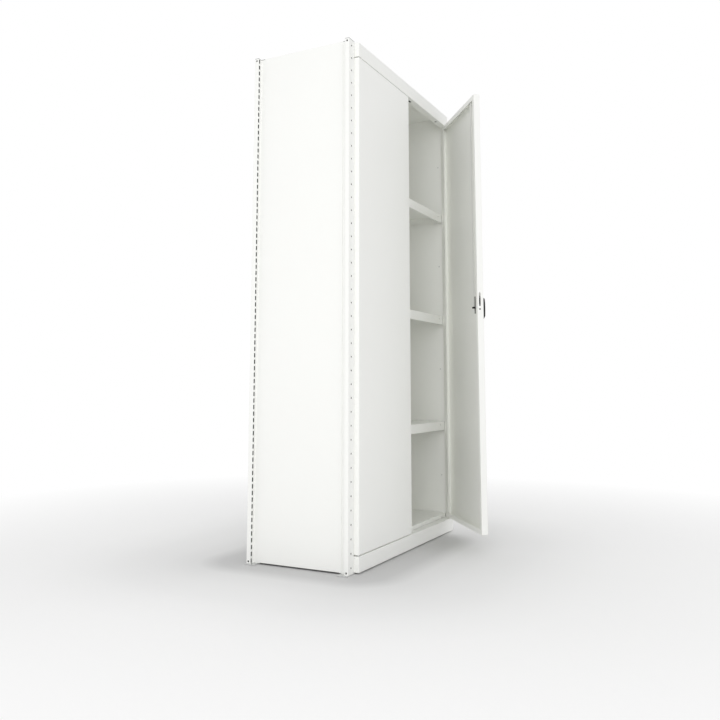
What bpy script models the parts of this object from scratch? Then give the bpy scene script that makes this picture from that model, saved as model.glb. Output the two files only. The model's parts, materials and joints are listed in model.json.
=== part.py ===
"""Two-door storage cupboard built on a slotted shelving bay.

Four T-section posts carry five folded shelves on hooked clips. Side and back panels clad the bay,
and two pan-shaped doors turn on pins between a top rail and a plinth. The right door stands open.
Lengths are metres. Working axes inside the datum: X along the front from the outer side of the left
posts, Y from the front face of the posts to the back, Z up from the floor.
"""
import math

import bmesh
import bpy
from mathutils import Matrix, Vector

# Driving dimensions
bay_width = 1.044
bay_depth = 0.437
post_height = 2.0
right_door_open = math.radians(38.95)
left_door_open = math.radians(0.0)

# Fits shared by all pieces
clearance = 0.0003
cut_overrun = 0.002
merge_distance = 0.00001

# Posts: one sheet folded to a hollow cross bar with a double-sheet stem behind it
post_width = 0.045
post_thick = 0.0175
post_sheet = 0.0015
stem_reach = 0.030
slot_pitch = 0.025
slot_length = 0.0165
slot_width = 0.005
slot_inset = 0.0078
end_hole_inset = 0.011
end_hole_diameter = 0.005

# Foot plates
plate_thick = 0.003
plate_outside = 0.010
plate_inside = 0.010
plate_depth = 0.041
plate_hole_diameter = 0.008
plate_hole_from_side = 0.017
plate_hole_from_back = 0.010
tongue_width = 0.020
tongue_height = 0.024
tongue_thick = 0.002

# Post caps
cap_thick = 0.0025
cap_plug_width = 0.020
cap_plug_depth = 0.008
cap_plug_height = 0.010

# Side panels
side_sheet = 0.0008
side_hem = 0.0105
side_from_floor = 0.006
side_below_top = 0.001

# Pans: doors, top rail, plinth and back panel are folded trays of the same make
pan_sheet = 0.001
pan_proud = 0.0194
pan_depth = 0.0266
pan_side_gap = 0.0013
plinth_from_floor = 0.005
plinth_height = 0.0566
rail_height = 0.0559
rail_below_top = 0.0056
rail_lip = 0.012
door_lip = 0.021
door_end_gap = 0.004
door_meeting_gap = 0.002
back_pan_depth = 0.0155
back_lip = 0.014
end_tab_height = 0.010
end_tab_past_pan = 0.007
rail_hole_diameter = 0.006
rail_hole_from_middle = 0.365
rail_hole_from_front = 0.0165

# Shelves
shelf_post_gap = 0.002
shelf_end_gap = 0.0005
shelf_sheet = 0.001
shelf_lip = 0.040
shelf_return = 0.010
shelf_side_lip = 0.030
shelf_lip_cut = 0.0175
floor_slot_row = 2
raised_shelves = ("lower", "middle", "upper", "top")
shelf_height_shares = (0.25, 0.5, 0.75, 1.0)

# Shelf clips
clip_thick = 0.0035
clip_seat_above_slot = 0.0135
clip_neck_height = 0.007
clip_hook_thick = 0.0025
clip_hook_drop = 0.005
clip_body_thick = 0.0045
clip_body_drop = 0.012
clip_arm_reach = 0.022
clip_arm_thick = 0.003

# Door hinges
hinge_from_end = 0.0111
hinge_behind_front = 0.0096
pin_diameter = 0.006
pin_head_diameter = 0.010
pin_head_thick = 0.002
pin_in_door = 0.012
bush_wall = 0.0012
bush_collar_diameter = 0.013
bush_in_door = 0.006

# Lock, all on the right door
spindle_height = 1.0
spindle_from_edge = 0.040
spindle_diameter = 0.008
spindle_past_back = 0.009
rose_diameter = 0.030
rose_thick = 0.0015
handle_length = 0.088
handle_proud = 0.0135
handle_hub_width = 0.024
handle_tip_width = 0.013
handle_length_shares = (-0.5, -0.46, -0.27, -0.12, 0.12, 0.27, 0.46, 0.5)
handle_width_shares = (0.0, 0.35, 0.60, 1.0, 1.0, 0.60, 0.35, 0.0)
handle_rise_shares = (0.45, 0.62, 1.0, 1.0, 1.0, 1.0, 0.62, 0.45)
handle_shoulder_share = 0.7
plug_diameter = 0.013
plug_depth = 0.009
keyway_width = 0.002
keyway_height = 0.008
keyway_depth = 0.004
case_thick = 0.014
case_width = 0.047
case_low = 0.024
case_high = 0.048
case_behind_front = 0.0164
case_pocket_depth = 0.008
bolt_above_spindle = 0.025
bolt_slot_height = 0.028
bolt_slot_width = 0.007
bolt_side_play = 0.001
bolt_length = 0.026
bolt_travel = 0.012
bar_from_edge = 0.055
bar_behind_front = 0.0214
bar_width = 0.012
bar_thick = 0.003
bar_foot_above_spindle = 0.006
bar_below_door_top = 0.0005
bar_slot_play = 0.0015
guide_play = 0.0004
guide_wall = 0.002
guide_height = 0.006

# Screw holes in trays
screw_hole_diameter = 0.0045
hole_play = 0.0008

# Facets round holes and turned pieces
hole_facets = 6
round_facets = 8
knob_facets = 12

# Places worked out from the sizes above
stem_thick = 2 * post_sheet
stem_side = (post_width - stem_thick) / 2
stem_end = post_thick + stem_reach
post_foot = plate_thick + clearance
post_top = post_height - cap_thick - clearance
slot_rows = math.floor((post_height + clearance) / slot_pitch)
shelf_slot_rows = {"floor": floor_slot_row}
for level, share in zip(raised_shelves, shelf_height_shares):
    shelf_slot_rows[level] = round(share * slot_rows) - 1
pan_left = post_width + pan_side_gap
tab_seat = pan_side_gap - clearance
tab_front = clearance
pan_right = bay_width - pan_left
pan_width = pan_right - pan_left
rail_top = post_height - rail_below_top
rail_bottom = rail_top - rail_height
plinth_top = plinth_from_floor + plinth_height
door_bottom = plinth_top + door_end_gap
door_top = rail_bottom - door_end_gap
door_width = (pan_width - door_meeting_gap) / 2
door_reach = door_width - hinge_from_end
hinge_y = hinge_behind_front - pan_proud
hinge_left_x = pan_left + hinge_from_end
hinge_right_x = pan_right - hinge_from_end
shelf_front = post_thick + shelf_post_gap
shelf_left = stem_side + stem_thick + shelf_end_gap
shelf_length = bay_width - 2 * shelf_left
shelf_depth = bay_depth - 2 * shelf_front
shelf_above_slot = clip_seat_above_slot + clearance + shelf_sheet
bush_outer_diameter = pin_diameter + 2 * (clearance + bush_wall)
bush_hole_diameter = bush_outer_diameter + 2 * clearance
pin_hole_diameter = pin_diameter + 2 * clearance
door_front_reach = door_reach * math.sin(right_door_open) + hinge_behind_front * math.cos(right_door_open)
front_limit = hinge_y - door_front_reach
datum_x = bay_width / 2
datum_y = (bay_depth + front_limit) / 2

FINISHES = {
    "white enamel": ((0.80, 0.81, 0.77), 0.42, 0.0),
    "zinc": ((0.56, 0.57, 0.56), 0.38, 0.9),
    "black plastic": ((0.022, 0.022, 0.024), 0.45, 0.0),
    "grey plastic": ((0.42, 0.43, 0.42), 0.5, 0.0),
    "bright steel": ((0.62, 0.62, 0.60), 0.30, 1.0),
}


# Scene and material helpers
def clear_scene():
    """Remove every object and leave the file open."""
    for item in list(bpy.data.objects):
        bpy.data.objects.remove(item, do_unlink=True)


def finish(item, kind):
    """Give the object a material of its own in one of the finishes."""
    colour, roughness, metallic = FINISHES[kind]
    material = bpy.data.materials.new(item.name + "_finish")
    material.use_nodes = True
    shader = material.node_tree.nodes["Principled BSDF"]
    shader.inputs["Base Color"].default_value = (*colour, 1.0)
    shader.inputs["Roughness"].default_value = roughness
    shader.inputs["Metallic"].default_value = metallic
    material.diffuse_color = (*colour, 1.0)
    item.data.materials.clear()
    item.data.materials.append(material)


def add_empty(name, location, parent=None, turn=0.0):
    """Add an empty that carries pieces, turned about its vertical axis."""
    empty = bpy.data.objects.new(name, None)
    bpy.context.scene.collection.objects.link(empty)
    empty.location = location
    empty.rotation_euler = (0.0, 0.0, turn)
    empty.parent = parent
    return empty


def add_object(name, mesh, parent, location=(0.0, 0.0, 0.0), turn=0.0):
    """Link an object that shows the mesh under its parent."""
    item = bpy.data.objects.new(name, mesh)
    bpy.context.scene.collection.objects.link(item)
    item.parent = parent
    item.location = location
    item.rotation_euler = (0.0, 0.0, turn)
    return item


def mesh_from(name, shape):
    """Turn a bmesh into a mesh with outward faces."""
    bmesh.ops.recalc_face_normals(shape, faces=shape.faces)
    mesh = bpy.data.meshes.new(name)
    shape.to_mesh(mesh)
    shape.free()
    return mesh


def add_piece(name, shape, parent, kind, location=(0.0, 0.0, 0.0), turn=0.0):
    """Make a named piece from a bmesh in the finish given."""
    item = add_object(name, mesh_from(name, shape), parent, location, turn)
    finish(item, kind)
    return item


def add_tool(name, shape, parent):
    """Make a hidden body that cuts or joins other pieces."""
    tool = add_object(name, mesh_from(name, shape), parent)
    tool.hide_render = True
    tool.display_type = "WIRE"
    return tool


def combine(item, tool, operation="DIFFERENCE"):
    """Cut the tool from the piece, or join it on."""
    step = item.modifiers.new(tool.name, "BOOLEAN")
    step.operation = operation
    step.solver = "EXACT"
    step.object = tool


# Shape helpers
def add_box(shape, low, high):
    """Add a box between two corners."""
    size = Vector(high) - Vector(low)
    centre = (Vector(high) + Vector(low)) / 2
    place = Matrix.Translation(centre) @ Matrix.Diagonal((*size, 1.0))
    bmesh.ops.create_cube(shape, size=1.0, matrix=place)


def box(low, high):
    """Return a bmesh that holds one box."""
    shape = bmesh.new()
    add_box(shape, low, high)
    return shape


def add_prism(shape, outline, along):
    """Extrude a closed outline of points by a vector."""
    face = shape.faces.new([shape.verts.new(point) for point in outline])
    grown = bmesh.ops.extrude_face_region(shape, geom=[face])
    new_verts = [part for part in grown["geom"] if isinstance(part, bmesh.types.BMVert)]
    bmesh.ops.translate(shape, verts=new_verts, vec=along)


def prism(outline, along):
    """Return a bmesh that holds one extruded outline."""
    shape = bmesh.new()
    add_prism(shape, outline, along)
    return shape


def ring_points(radius, height, facets, place):
    """Return the corners of a regular ring at a height on the axis of the frame given."""
    step = 2 * math.pi / facets
    return [place @ Vector((radius * math.cos(step * (corner + 0.5)), radius * math.sin(step * (corner + 0.5)), height))
            for corner in range(facets)]


def join_rings(shape, pairs):
    """Add the faces between pairs of rings that have the same number of corners."""
    for lower, upper in pairs:
        for corner, vert in enumerate(lower):
            after = (corner + 1) % len(lower)
            shape.faces.new((vert, lower[after], upper[after], upper[corner]))


def add_turned(shape, profile, facets, place, bored=False):
    """Turn a profile of (radius, height) points about the Z axis of the frame given."""
    rings = [[shape.verts.new(point) for point in ring_points(radius, height, facets, place)]
             for radius, height in profile]
    pairs = list(zip(rings, rings[1:]))
    if bored:
        pairs.append((rings[-1], rings[0]))
    else:
        shape.faces.new(rings[0])
        shape.faces.new(rings[-1])
    join_rings(shape, pairs)


def turned(profile, facets, place, bored=False):
    """Return a bmesh that holds one turned body."""
    shape = bmesh.new()
    add_turned(shape, profile, facets, place, bored)
    return shape


def add_cylinder(shape, diameter, start, along, facets):
    """Add a cylinder that runs from a point along a vector."""
    add_turned(shape, [(diameter / 2, 0.0), (diameter / 2, Vector(along).length)], facets, axis_frame(start, along))


def axis_frame(start, along):
    """Return a frame at a point with its Z axis along the vector."""
    turn = Vector((0.0, 0.0, 1.0)).rotation_difference(Vector(along)).to_matrix().to_4x4()
    return Matrix.Translation(Vector(start)) @ turn


def thicken(item, sheet, outside):
    """Give a folded sheet its thickness, on the side of its first face that looks away from outside."""
    fold = item.modifiers.new("Sheet", "SOLIDIFY")
    fold.solidify_mode = "NON_MANIFOLD"
    fold.nonmanifold_thickness_mode = "CONSTRAINTS"
    fold.nonmanifold_merge_threshold = merge_distance
    fold.thickness = sheet
    fold.offset = -1.0 if item.data.polygons[0].normal.dot(outside) > 0 else 1.0


def folded_pan(name, parent, low, high, lip, back_is_open_side=1.0):
    """Fold a tray from one sheet: a face, four walls and a lip round the open side.

    The face lies at the low Y for an open side of 1, and at the high Y for -1.
    """
    left, front, bottom = low
    right, back, top = high
    face_y = front if back_is_open_side > 0 else back
    open_y = back if back_is_open_side > 0 else front
    shape = bmesh.new()
    corners = [(left, bottom), (right, bottom), (right, top), (left, top)]
    face = shape.faces.new([shape.verts.new((x, face_y, z)) for x, z in corners])
    walls = bmesh.ops.extrude_edge_only(shape, edges=face.edges[:])
    wall_verts = [part for part in walls["geom"] if isinstance(part, bmesh.types.BMVert)]
    wall_edges = [part for part in walls["geom"] if isinstance(part, bmesh.types.BMEdge)
                  and all(corner in wall_verts for corner in part.verts)]
    bmesh.ops.translate(shape, verts=wall_verts, vec=(0.0, open_y - face_y, 0.0))
    lips = bmesh.ops.extrude_edge_only(shape, edges=wall_edges)
    middle_x = (left + right) / 2
    middle_z = (bottom + top) / 2
    for corner in [part for part in lips["geom"] if isinstance(part, bmesh.types.BMVert)]:
        corner.co.x += lip if corner.co.x < middle_x else -lip
        corner.co.z += lip if corner.co.z < middle_z else -lip
    item = add_piece(name, shape, parent, "white enamel")
    thicken(item, pan_sheet, Vector((0.0, -back_is_open_side, 0.0)))
    return item


# Posts
def post_outline():
    """Return the T outline of a post, centred on X with its front face at Y zero."""
    half = post_width / 2
    stem = stem_thick / 2
    return [(-half, 0.0), (half, 0.0), (half, post_thick), (stem, post_thick), (stem, stem_end),
            (-stem, stem_end), (-stem, post_thick), (-half, post_thick)]


def slot_centre(row):
    """Return the height of the middle of a slot row."""
    return slot_pitch * (row + 0.5)


def post_slot_tool(parent):
    """Make the cutter for the hook slots in both inner flanges."""
    shape = bmesh.new()
    middle = post_width / 2 - slot_inset
    for row in range(slot_rows):
        for side in (-1, 1):
            low = (side * middle - slot_width / 2, post_thick - post_sheet - cut_overrun,
                   slot_centre(row) - slot_length / 2)
            high = (side * middle + slot_width / 2, post_thick + cut_overrun, slot_centre(row) + slot_length / 2)
            add_box(shape, low, high)
    return add_tool("post_slot_cutter", shape, parent)


def post_hole_tool(parent):
    """Make the cutter for the round screw holes near the ends of both returns."""
    shape = bmesh.new()
    reach = post_sheet + 2 * cut_overrun
    for height in (end_hole_inset, post_height - end_hole_inset):
        for side in (-1, 1):
            start = (side * (post_width / 2 - post_sheet - cut_overrun), post_thick / 2, height)
            add_cylinder(shape, end_hole_diameter, start, (side * reach, 0.0, 0.0), hole_facets)
    return add_tool("post_hole_cutter", shape, parent)


def post_mesh():
    """Build the post once and return its finished mesh."""
    outline = [(x, y, post_foot) for x, y in post_outline()]
    post = add_object("post_blank", mesh_from("post", prism(outline, (0.0, 0.0, post_top - post_foot))), None)
    half = post_width / 2 - post_sheet
    hollow = box((-half, post_sheet, post_foot - cut_overrun),
                 (half, post_thick - post_sheet, post_top + cut_overrun))
    tools = [add_tool("post_hollow", hollow, None), post_slot_tool(None), post_hole_tool(None)]
    for tool in tools:
        combine(post, tool)
    graph = bpy.context.evaluated_depsgraph_get()
    mesh = bpy.data.meshes.new_from_object(post.evaluated_get(graph))
    for helper in (post, *tools):
        bpy.data.objects.remove(helper, do_unlink=True)
    return mesh


def add_corners(datum):
    """Add an empty on the face of each corner's post, with the side of it that faces the bay."""
    near = post_width / 2
    far = bay_width - near
    places = {
        "front_left": ((near, 0.0, 0.0), 0.0, 1),
        "front_right": ((far, 0.0, 0.0), 0.0, -1),
        "rear_left": ((near, bay_depth, 0.0), math.pi, -1),
        "rear_right": ((far, bay_depth, 0.0), math.pi, 1),
    }
    return {name: (add_empty("corner_" + name, place, datum, turn), bay_side)
            for name, (place, turn, bay_side) in places.items()}


def build_posts(corners):
    """Stand one post on each corner."""
    mesh = post_mesh()
    for name, (corner, _) in corners.items():
        finish(add_object("post_" + name, mesh.copy(), corner), "white enamel")


def build_foot_plates(corners):
    """Put a plate with an upright tongue under each post."""
    outer = post_width / 2 + plate_outside
    inner = post_width / 2 + plate_inside
    for name, (corner, bay_side) in corners.items():
        low_x, high_x = sorted((-bay_side * outer, bay_side * inner))
        plate = add_piece("foot_plate_" + name, box((low_x, 0.0, 0.0), (high_x, plate_depth, plate_thick)),
                          corner, "zinc")
        tongue_y = (post_thick - tongue_thick) / 2
        tongue = box((-tongue_width / 2, tongue_y, plate_thick / 2),
                     (tongue_width / 2, tongue_y + tongue_thick, plate_thick + tongue_height))
        combine(plate, add_tool("tongue_" + name, tongue, corner), "UNION")
        hole = bmesh.new()
        hole_x = -bay_side * (outer - plate_hole_from_side)
        add_cylinder(hole, plate_hole_diameter, (hole_x, plate_depth - plate_hole_from_back, -cut_overrun),
                     (0.0, 0.0, plate_thick + 2 * cut_overrun), round_facets)
        combine(plate, add_tool("fixing_hole_" + name, hole, corner))


def build_post_caps(corners):
    """Close each post with a T cap and a plug in its hollow."""
    for name, (corner, _) in corners.items():
        outline = [(x, y, post_height - cap_thick) for x, y in post_outline()]
        cap = add_piece("post_cap_" + name, prism(outline, (0.0, 0.0, cap_thick)), corner, "grey plastic")
        plug_front = post_sheet + clearance
        plug = box((-cap_plug_width / 2, plug_front, post_top - cap_plug_height),
                   (cap_plug_width / 2, plug_front + cap_plug_depth, post_height - cap_thick / 2))
        combine(cap, add_tool("cap_plug_" + name, plug, corner), "UNION")


# Cladding
def build_side_panels(datum):
    """Hang a sheet with hemmed edges on the outer faces of the stems at each end."""
    hem_inside = stem_side - clearance
    outside = hem_inside - 2 * side_sheet
    inside = outside + side_sheet
    front = stem_end - side_hem
    back = bay_depth - front
    profile = [(outside, front), (hem_inside, front), (hem_inside, front + side_hem), (inside, front + side_hem),
               (inside, back - side_hem), (hem_inside, back - side_hem), (hem_inside, back), (outside, back)]
    rise = post_height - side_below_top - side_from_floor
    for side in ("left", "right"):
        mirrored = [(x if side == "left" else bay_width - x, y, side_from_floor) for x, y in profile]
        panel = add_piece("side_panel_" + side, prism(mirrored, (0.0, 0.0, rise)), datum, "white enamel")


def end_hole_tool(name, left, right, depth, heights, parent):
    """Make the cutter for the screw holes in a tray's two end walls."""
    shape = bmesh.new()
    reach = pan_sheet + tab_seat + 2 * cut_overrun
    for height in heights:
        for x in (left - tab_seat - cut_overrun, right - pan_sheet - cut_overrun):
            add_cylinder(shape, screw_hole_diameter, (x, depth, height), (reach, 0.0, 0.0), hole_facets)
    return add_tool(name, shape, parent)


def build_back_panel(datum):
    """Fold the back panel that closes the space between the rear posts."""
    left = post_width + clearance
    right = bay_width - left
    panel = folded_pan("back_panel", datum, (left, bay_depth - back_pan_depth, plinth_from_floor),
                       (right, bay_depth, rail_top), back_lip, -1.0)
    heights = (end_hole_inset, post_height - end_hole_inset)
    combine(panel, end_hole_tool("back_panel_holes", left, right, bay_depth - post_thick / 2, heights, datum))


def add_end_tabs(item, height, datum):
    """Join a fixing tab that seats on the post to each end of a rail, and cut its screw hole."""
    tabs = bmesh.new()
    open_plane = pan_depth - pan_proud
    for low_x, high_x in ((pan_left - tab_seat, pan_left + pan_sheet), (pan_right - pan_sheet, pan_right + tab_seat)):
        add_box(tabs, (low_x, tab_front, height - end_tab_height / 2),
                (high_x, open_plane + end_tab_past_pan, height + end_tab_height / 2))
    combine(item, add_tool(item.name + "_tabs", tabs, datum), "UNION")
    combine(item, end_hole_tool(item.name + "_screw_holes", pan_left, pan_right, post_thick / 2, (height,), datum))


def pivot_hole_tool(name, level, parent):
    """Make the cutter for the two hinge pin holes in a rail's flange."""
    shape = bmesh.new()
    for x in (hinge_left_x, hinge_right_x):
        add_cylinder(shape, pin_hole_diameter, (x, hinge_y, level - pan_sheet / 2 - cut_overrun),
                     (0.0, 0.0, pan_sheet + 2 * cut_overrun), round_facets)
    return add_tool(name, shape, parent)


def bar_place_x():
    """Return where the lock bar stands across the front with the right door closed."""
    return pan_right - door_width + bar_from_edge


def build_top_rail(datum):
    """Fold the rail above the doors, with its pin holes, keeper slots and end tabs."""
    low = (pan_left, -pan_proud, rail_bottom)
    high = (pan_right, pan_depth - pan_proud, rail_top)
    rail = folded_pan("top_rail", datum, low, high, rail_lip)
    add_end_tabs(rail, post_height - end_hole_inset, datum)
    combine(rail, pivot_hole_tool("top_rail_pin_holes", rail_bottom + pan_sheet / 2, datum))
    shape = bmesh.new()
    half_x = bar_width / 2 + bar_slot_play
    half_y = bar_thick / 2 + bar_slot_play
    bar_y = bar_behind_front - pan_proud
    for x in (bar_place_x(), bay_width - bar_place_x()):
        add_box(shape, (x - half_x, bar_y - half_y, rail_bottom - cut_overrun),
                (x + half_x, bar_y + half_y, rail_bottom + pan_sheet + cut_overrun))
    for x in (bay_width / 2 - rail_hole_from_middle, bay_width / 2 + rail_hole_from_middle):
        add_cylinder(shape, rail_hole_diameter, (x, rail_hole_from_front - pan_proud, rail_bottom - cut_overrun),
                     (0.0, 0.0, pan_sheet + 2 * cut_overrun), round_facets)
    combine(rail, add_tool("top_rail_keeper_slots", shape, datum))


def build_plinth(datum):
    """Fold the plinth below the doors, with its pin holes and end tabs."""
    low = (pan_left, -pan_proud, plinth_from_floor)
    high = (pan_right, pan_depth - pan_proud, plinth_top)
    plinth = folded_pan("plinth", datum, low, high, rail_lip)
    add_end_tabs(plinth, end_hole_inset, datum)
    combine(plinth, pivot_hole_tool("plinth_pin_holes", plinth_top - pan_sheet / 2, datum))


# Shelves and their clips
def shelf_sheet_shape(top):
    """Fold a shelf from one sheet: a deck, long lips with returns, and plain end lips."""
    left, right = shelf_left, shelf_left + shelf_length
    front, back = shelf_front, shelf_front + shelf_depth
    cut_left, cut_right = left + shelf_lip_cut, right - shelf_lip_cut
    shape = bmesh.new()
    deck = [(left, front), (cut_left, front), (cut_right, front), (right, front),
            (right, back), (cut_right, back), (cut_left, back), (left, back)]
    verts = [shape.verts.new((x, y, top)) for x, y in deck]
    shape.faces.new(verts)
    for first, second, inward in ((1, 2, 1.0), (5, 6, -1.0)):
        edge = shape.edges.get((verts[first], verts[second]))
        lip_edge = fold_edge(shape, edge, (0.0, 0.0, -shelf_lip))
        fold_edge(shape, lip_edge, (0.0, inward * shelf_return, 0.0))
    for first, second in ((3, 4), (7, 0)):
        fold_edge(shape, shape.edges.get((verts[first], verts[second])), (0.0, 0.0, -shelf_side_lip))
    return shape


def fold_edge(shape, edge, along):
    """Extend the sheet from one edge along a vector and return the new outer edge."""
    grown = bmesh.ops.extrude_edge_only(shape, edges=[edge])["geom"]
    verts = [part for part in grown if isinstance(part, bmesh.types.BMVert)]
    bmesh.ops.translate(shape, verts=verts, vec=along)
    return next(part for part in grown if isinstance(part, bmesh.types.BMEdge)
                and all(corner in verts for corner in part.verts))


def build_shelves(datum):
    """Hang each shelf on four clips."""
    for level, row in shelf_slot_rows.items():
        shelf = add_piece("shelf_" + level, shelf_sheet_shape(slot_centre(row) + shelf_above_slot), datum,
                          "white enamel")
        thicken(shelf, shelf_sheet, Vector((0.0, 0.0, 1.0)))


def clip_mesh():
    """Build the hooked clip once, about the middle of its slot."""
    slot_low = -slot_length / 2
    against = post_thick + clearance
    hook_back = post_thick - post_sheet - clearance
    hook_front = hook_back - clip_hook_thick
    rest = slot_low + clearance
    tip = against + clip_arm_reach
    outline = [(tip, clip_seat_above_slot), (against, clip_seat_above_slot), (against, rest + clip_neck_height),
               (hook_front, rest + clip_neck_height), (hook_front, slot_low - clip_hook_drop),
               (hook_back, slot_low - clip_hook_drop), (hook_back, rest), (against, rest),
               (against, slot_low - clip_body_drop), (against + clip_body_thick, slot_low - clip_body_drop),
               (tip, clip_seat_above_slot - clip_arm_thick)]
    return mesh_from("clip", prism([(-clip_thick / 2, y, z) for y, z in outline], (clip_thick, 0.0, 0.0)))


def build_clips(corners):
    """Hook a clip into the inner flange of each post at every shelf."""
    mesh = clip_mesh()
    for level, row in shelf_slot_rows.items():
        for name, (corner, bay_side) in corners.items():
            place = (bay_side * (post_width / 2 - slot_inset), 0.0, slot_centre(row))
            finish(add_object("clip_" + level + "_" + name, mesh.copy(), corner, place), "zinc")


# Doors and hinges
def door_span(side):
    """Return the door's reach in X from its hinge axis, low and high."""
    if side == "left":
        return -hinge_from_end, door_reach
    return -door_reach, hinge_from_end


def build_door(side, hinge):
    """Fold a door and cut its hinge bush holes."""
    low_x, high_x = door_span(side)
    door = folded_pan("door_" + side, hinge, (low_x, -hinge_behind_front, door_bottom),
                      (high_x, pan_depth - hinge_behind_front, door_top), door_lip)
    shape = bmesh.new()
    for level in (door_bottom, door_top - pan_sheet):
        add_cylinder(shape, bush_hole_diameter, (0.0, 0.0, level - cut_overrun),
                     (0.0, 0.0, pan_sheet + 2 * cut_overrun), round_facets)
    combine(door, add_tool("door_bush_holes_" + side, shape, hinge))
    return door


def bolt_slot_tool(side, hinge):
    """Make the cutter for the bolt slot in a door's meeting edge."""
    edge = door_reach if side == "left" else -door_reach
    low, high = bolt_box(edge - pan_sheet - cut_overrun, edge + pan_sheet + cut_overrun, bolt_slot_width,
                         bolt_slot_height)
    return add_tool("bolt_slot_" + side, box(low, high), hinge)


def bolt_box(low_x, high_x, thick, height):
    """Return the corners of a box about the bolt's line between two places in X."""
    line_y = case_behind_front - hinge_behind_front
    line_z = spindle_height + bolt_above_spindle
    return ((low_x, line_y - thick / 2, line_z - height / 2), (high_x, line_y + thick / 2, line_z + height / 2))


def hinge_places():
    """Return the place of each hinge pin's flange face, with its direction into the door."""
    places = {}
    for side, x in (("left", hinge_left_x), ("right", hinge_right_x)):
        places[side + "_bottom"] = (side, x, plinth_top, 1.0)
        places[side + "_top"] = (side, x, rail_bottom, -1.0)
    return places


def build_hinges(datum, hinges):
    """Set the pins in the rail and the plinth, and the bushes in the doors."""
    gap = door_end_gap
    for name, (side, x, level, into) in hinge_places().items():
        behind = pan_sheet + clearance
        pin = [(pin_head_diameter / 2, -behind - pin_head_thick), (pin_head_diameter / 2, -behind),
               (pin_diameter / 2, -behind), (pin_diameter / 2, gap + pin_in_door)]
        pin_shape = turned(pin, round_facets, axis_frame((x, hinge_y, level), (0.0, 0.0, into)))
        add_piece("hinge_pin_" + name, pin_shape, datum, "bright steel")
        bore = pin_diameter / 2 + clearance
        bush = [(bore, clearance), (bush_collar_diameter / 2, clearance), (bush_collar_diameter / 2, gap - clearance),
                (bush_outer_diameter / 2, gap - clearance), (bush_outer_diameter / 2, gap + bush_in_door),
                (bore, gap + bush_in_door)]
        bush_shape = turned(bush, round_facets, axis_frame((0.0, 0.0, level), (0.0, 0.0, into)), bored=True)
        add_piece("hinge_bush_" + name, bush_shape, hinges[side], "grey plastic")


# Lock on the right door, drawn in the frame of its hinge
def spindle_x():
    """Return the spindle's place from the hinge axis."""
    return spindle_from_edge - door_reach


def front_y(depth):
    """Return the Y of a depth behind the door's front face."""
    return depth - hinge_behind_front


def handle_section(share, width_share, rise_share):
    """Return one section of the handle at a share of its length."""
    height = share * handle_length
    half = (handle_tip_width + width_share * (handle_hub_width - handle_tip_width)) / 2
    rise = rise_share * handle_proud
    shoulder = handle_shoulder_share
    return [(-half, 0.0, height), (half, 0.0, height), (half, -rise * shoulder, height),
            (half * shoulder, -rise, height), (-half * shoulder, -rise, height), (-half, -rise * shoulder, height)]


def build_handle(carrier, hinge):
    """Loft the wing handle, upright when the lock is open, with its plug seat and spindle socket."""
    shape = bmesh.new()
    sections = zip(handle_length_shares, handle_width_shares, handle_rise_shares)
    rings = [[shape.verts.new(point) for point in handle_section(*section)] for section in sections]
    shape.faces.new(rings[0])
    shape.faces.new(rings[-1])
    join_rings(shape, zip(rings, rings[1:]))
    base = -rose_thick - 2 * clearance
    bmesh.ops.translate(shape, verts=shape.verts, vec=(0.0, base, 0.0))
    handle = add_piece("door_handle", shape, carrier, "black plastic")
    seat = bmesh.new()
    add_cylinder(seat, plug_diameter + 2 * clearance, (0.0, base - handle_proud + plug_depth + clearance, 0.0),
                 (0.0, -plug_depth - cut_overrun, 0.0), knob_facets)
    combine(handle, add_tool("plug_seat", seat, carrier))
    plug_face = base - handle_proud
    plug = turned([(plug_diameter / 2, 0.0), (plug_diameter / 2, plug_depth)], knob_facets,
                  axis_frame((0.0, plug_face + plug_depth, 0.0), (0.0, -1.0, 0.0)))
    plug_item = add_piece("lock_plug", plug, carrier, "bright steel")
    keyway = box((-keyway_width / 2, plug_face - cut_overrun, -keyway_height / 2),
                 (keyway_width / 2, plug_face + keyway_depth, keyway_height / 2))
    combine(plug_item, add_tool("keyway", keyway, carrier))
    rose = turned([(rose_diameter / 2, clearance), (rose_diameter / 2, clearance + rose_thick),
                   (spindle_diameter / 2 + clearance, clearance + rose_thick),
                   (spindle_diameter / 2 + clearance, clearance)], knob_facets,
                  axis_frame((spindle_x(), front_y(0.0), spindle_height), (0.0, -1.0, 0.0)), bored=True)
    add_piece("handle_rose", rose, hinge, "black plastic")
    reach = pan_depth + spindle_past_back
    spindle = turned([(spindle_diameter / 2, 0.0), (spindle_diameter / 2, reach - base - clearance)], knob_facets,
                     axis_frame((0.0, base + clearance, 0.0), (0.0, 1.0, 0.0)))
    add_piece("handle_spindle", spindle, carrier, "black plastic")


def case_box():
    """Return the corners of the lock case."""
    edge = pan_sheet + clearance - door_reach
    middle = front_y(case_behind_front)
    return ((edge, middle - case_thick / 2, spindle_height - case_low),
            (edge + case_width, middle + case_thick / 2, spindle_height + case_high))


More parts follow.
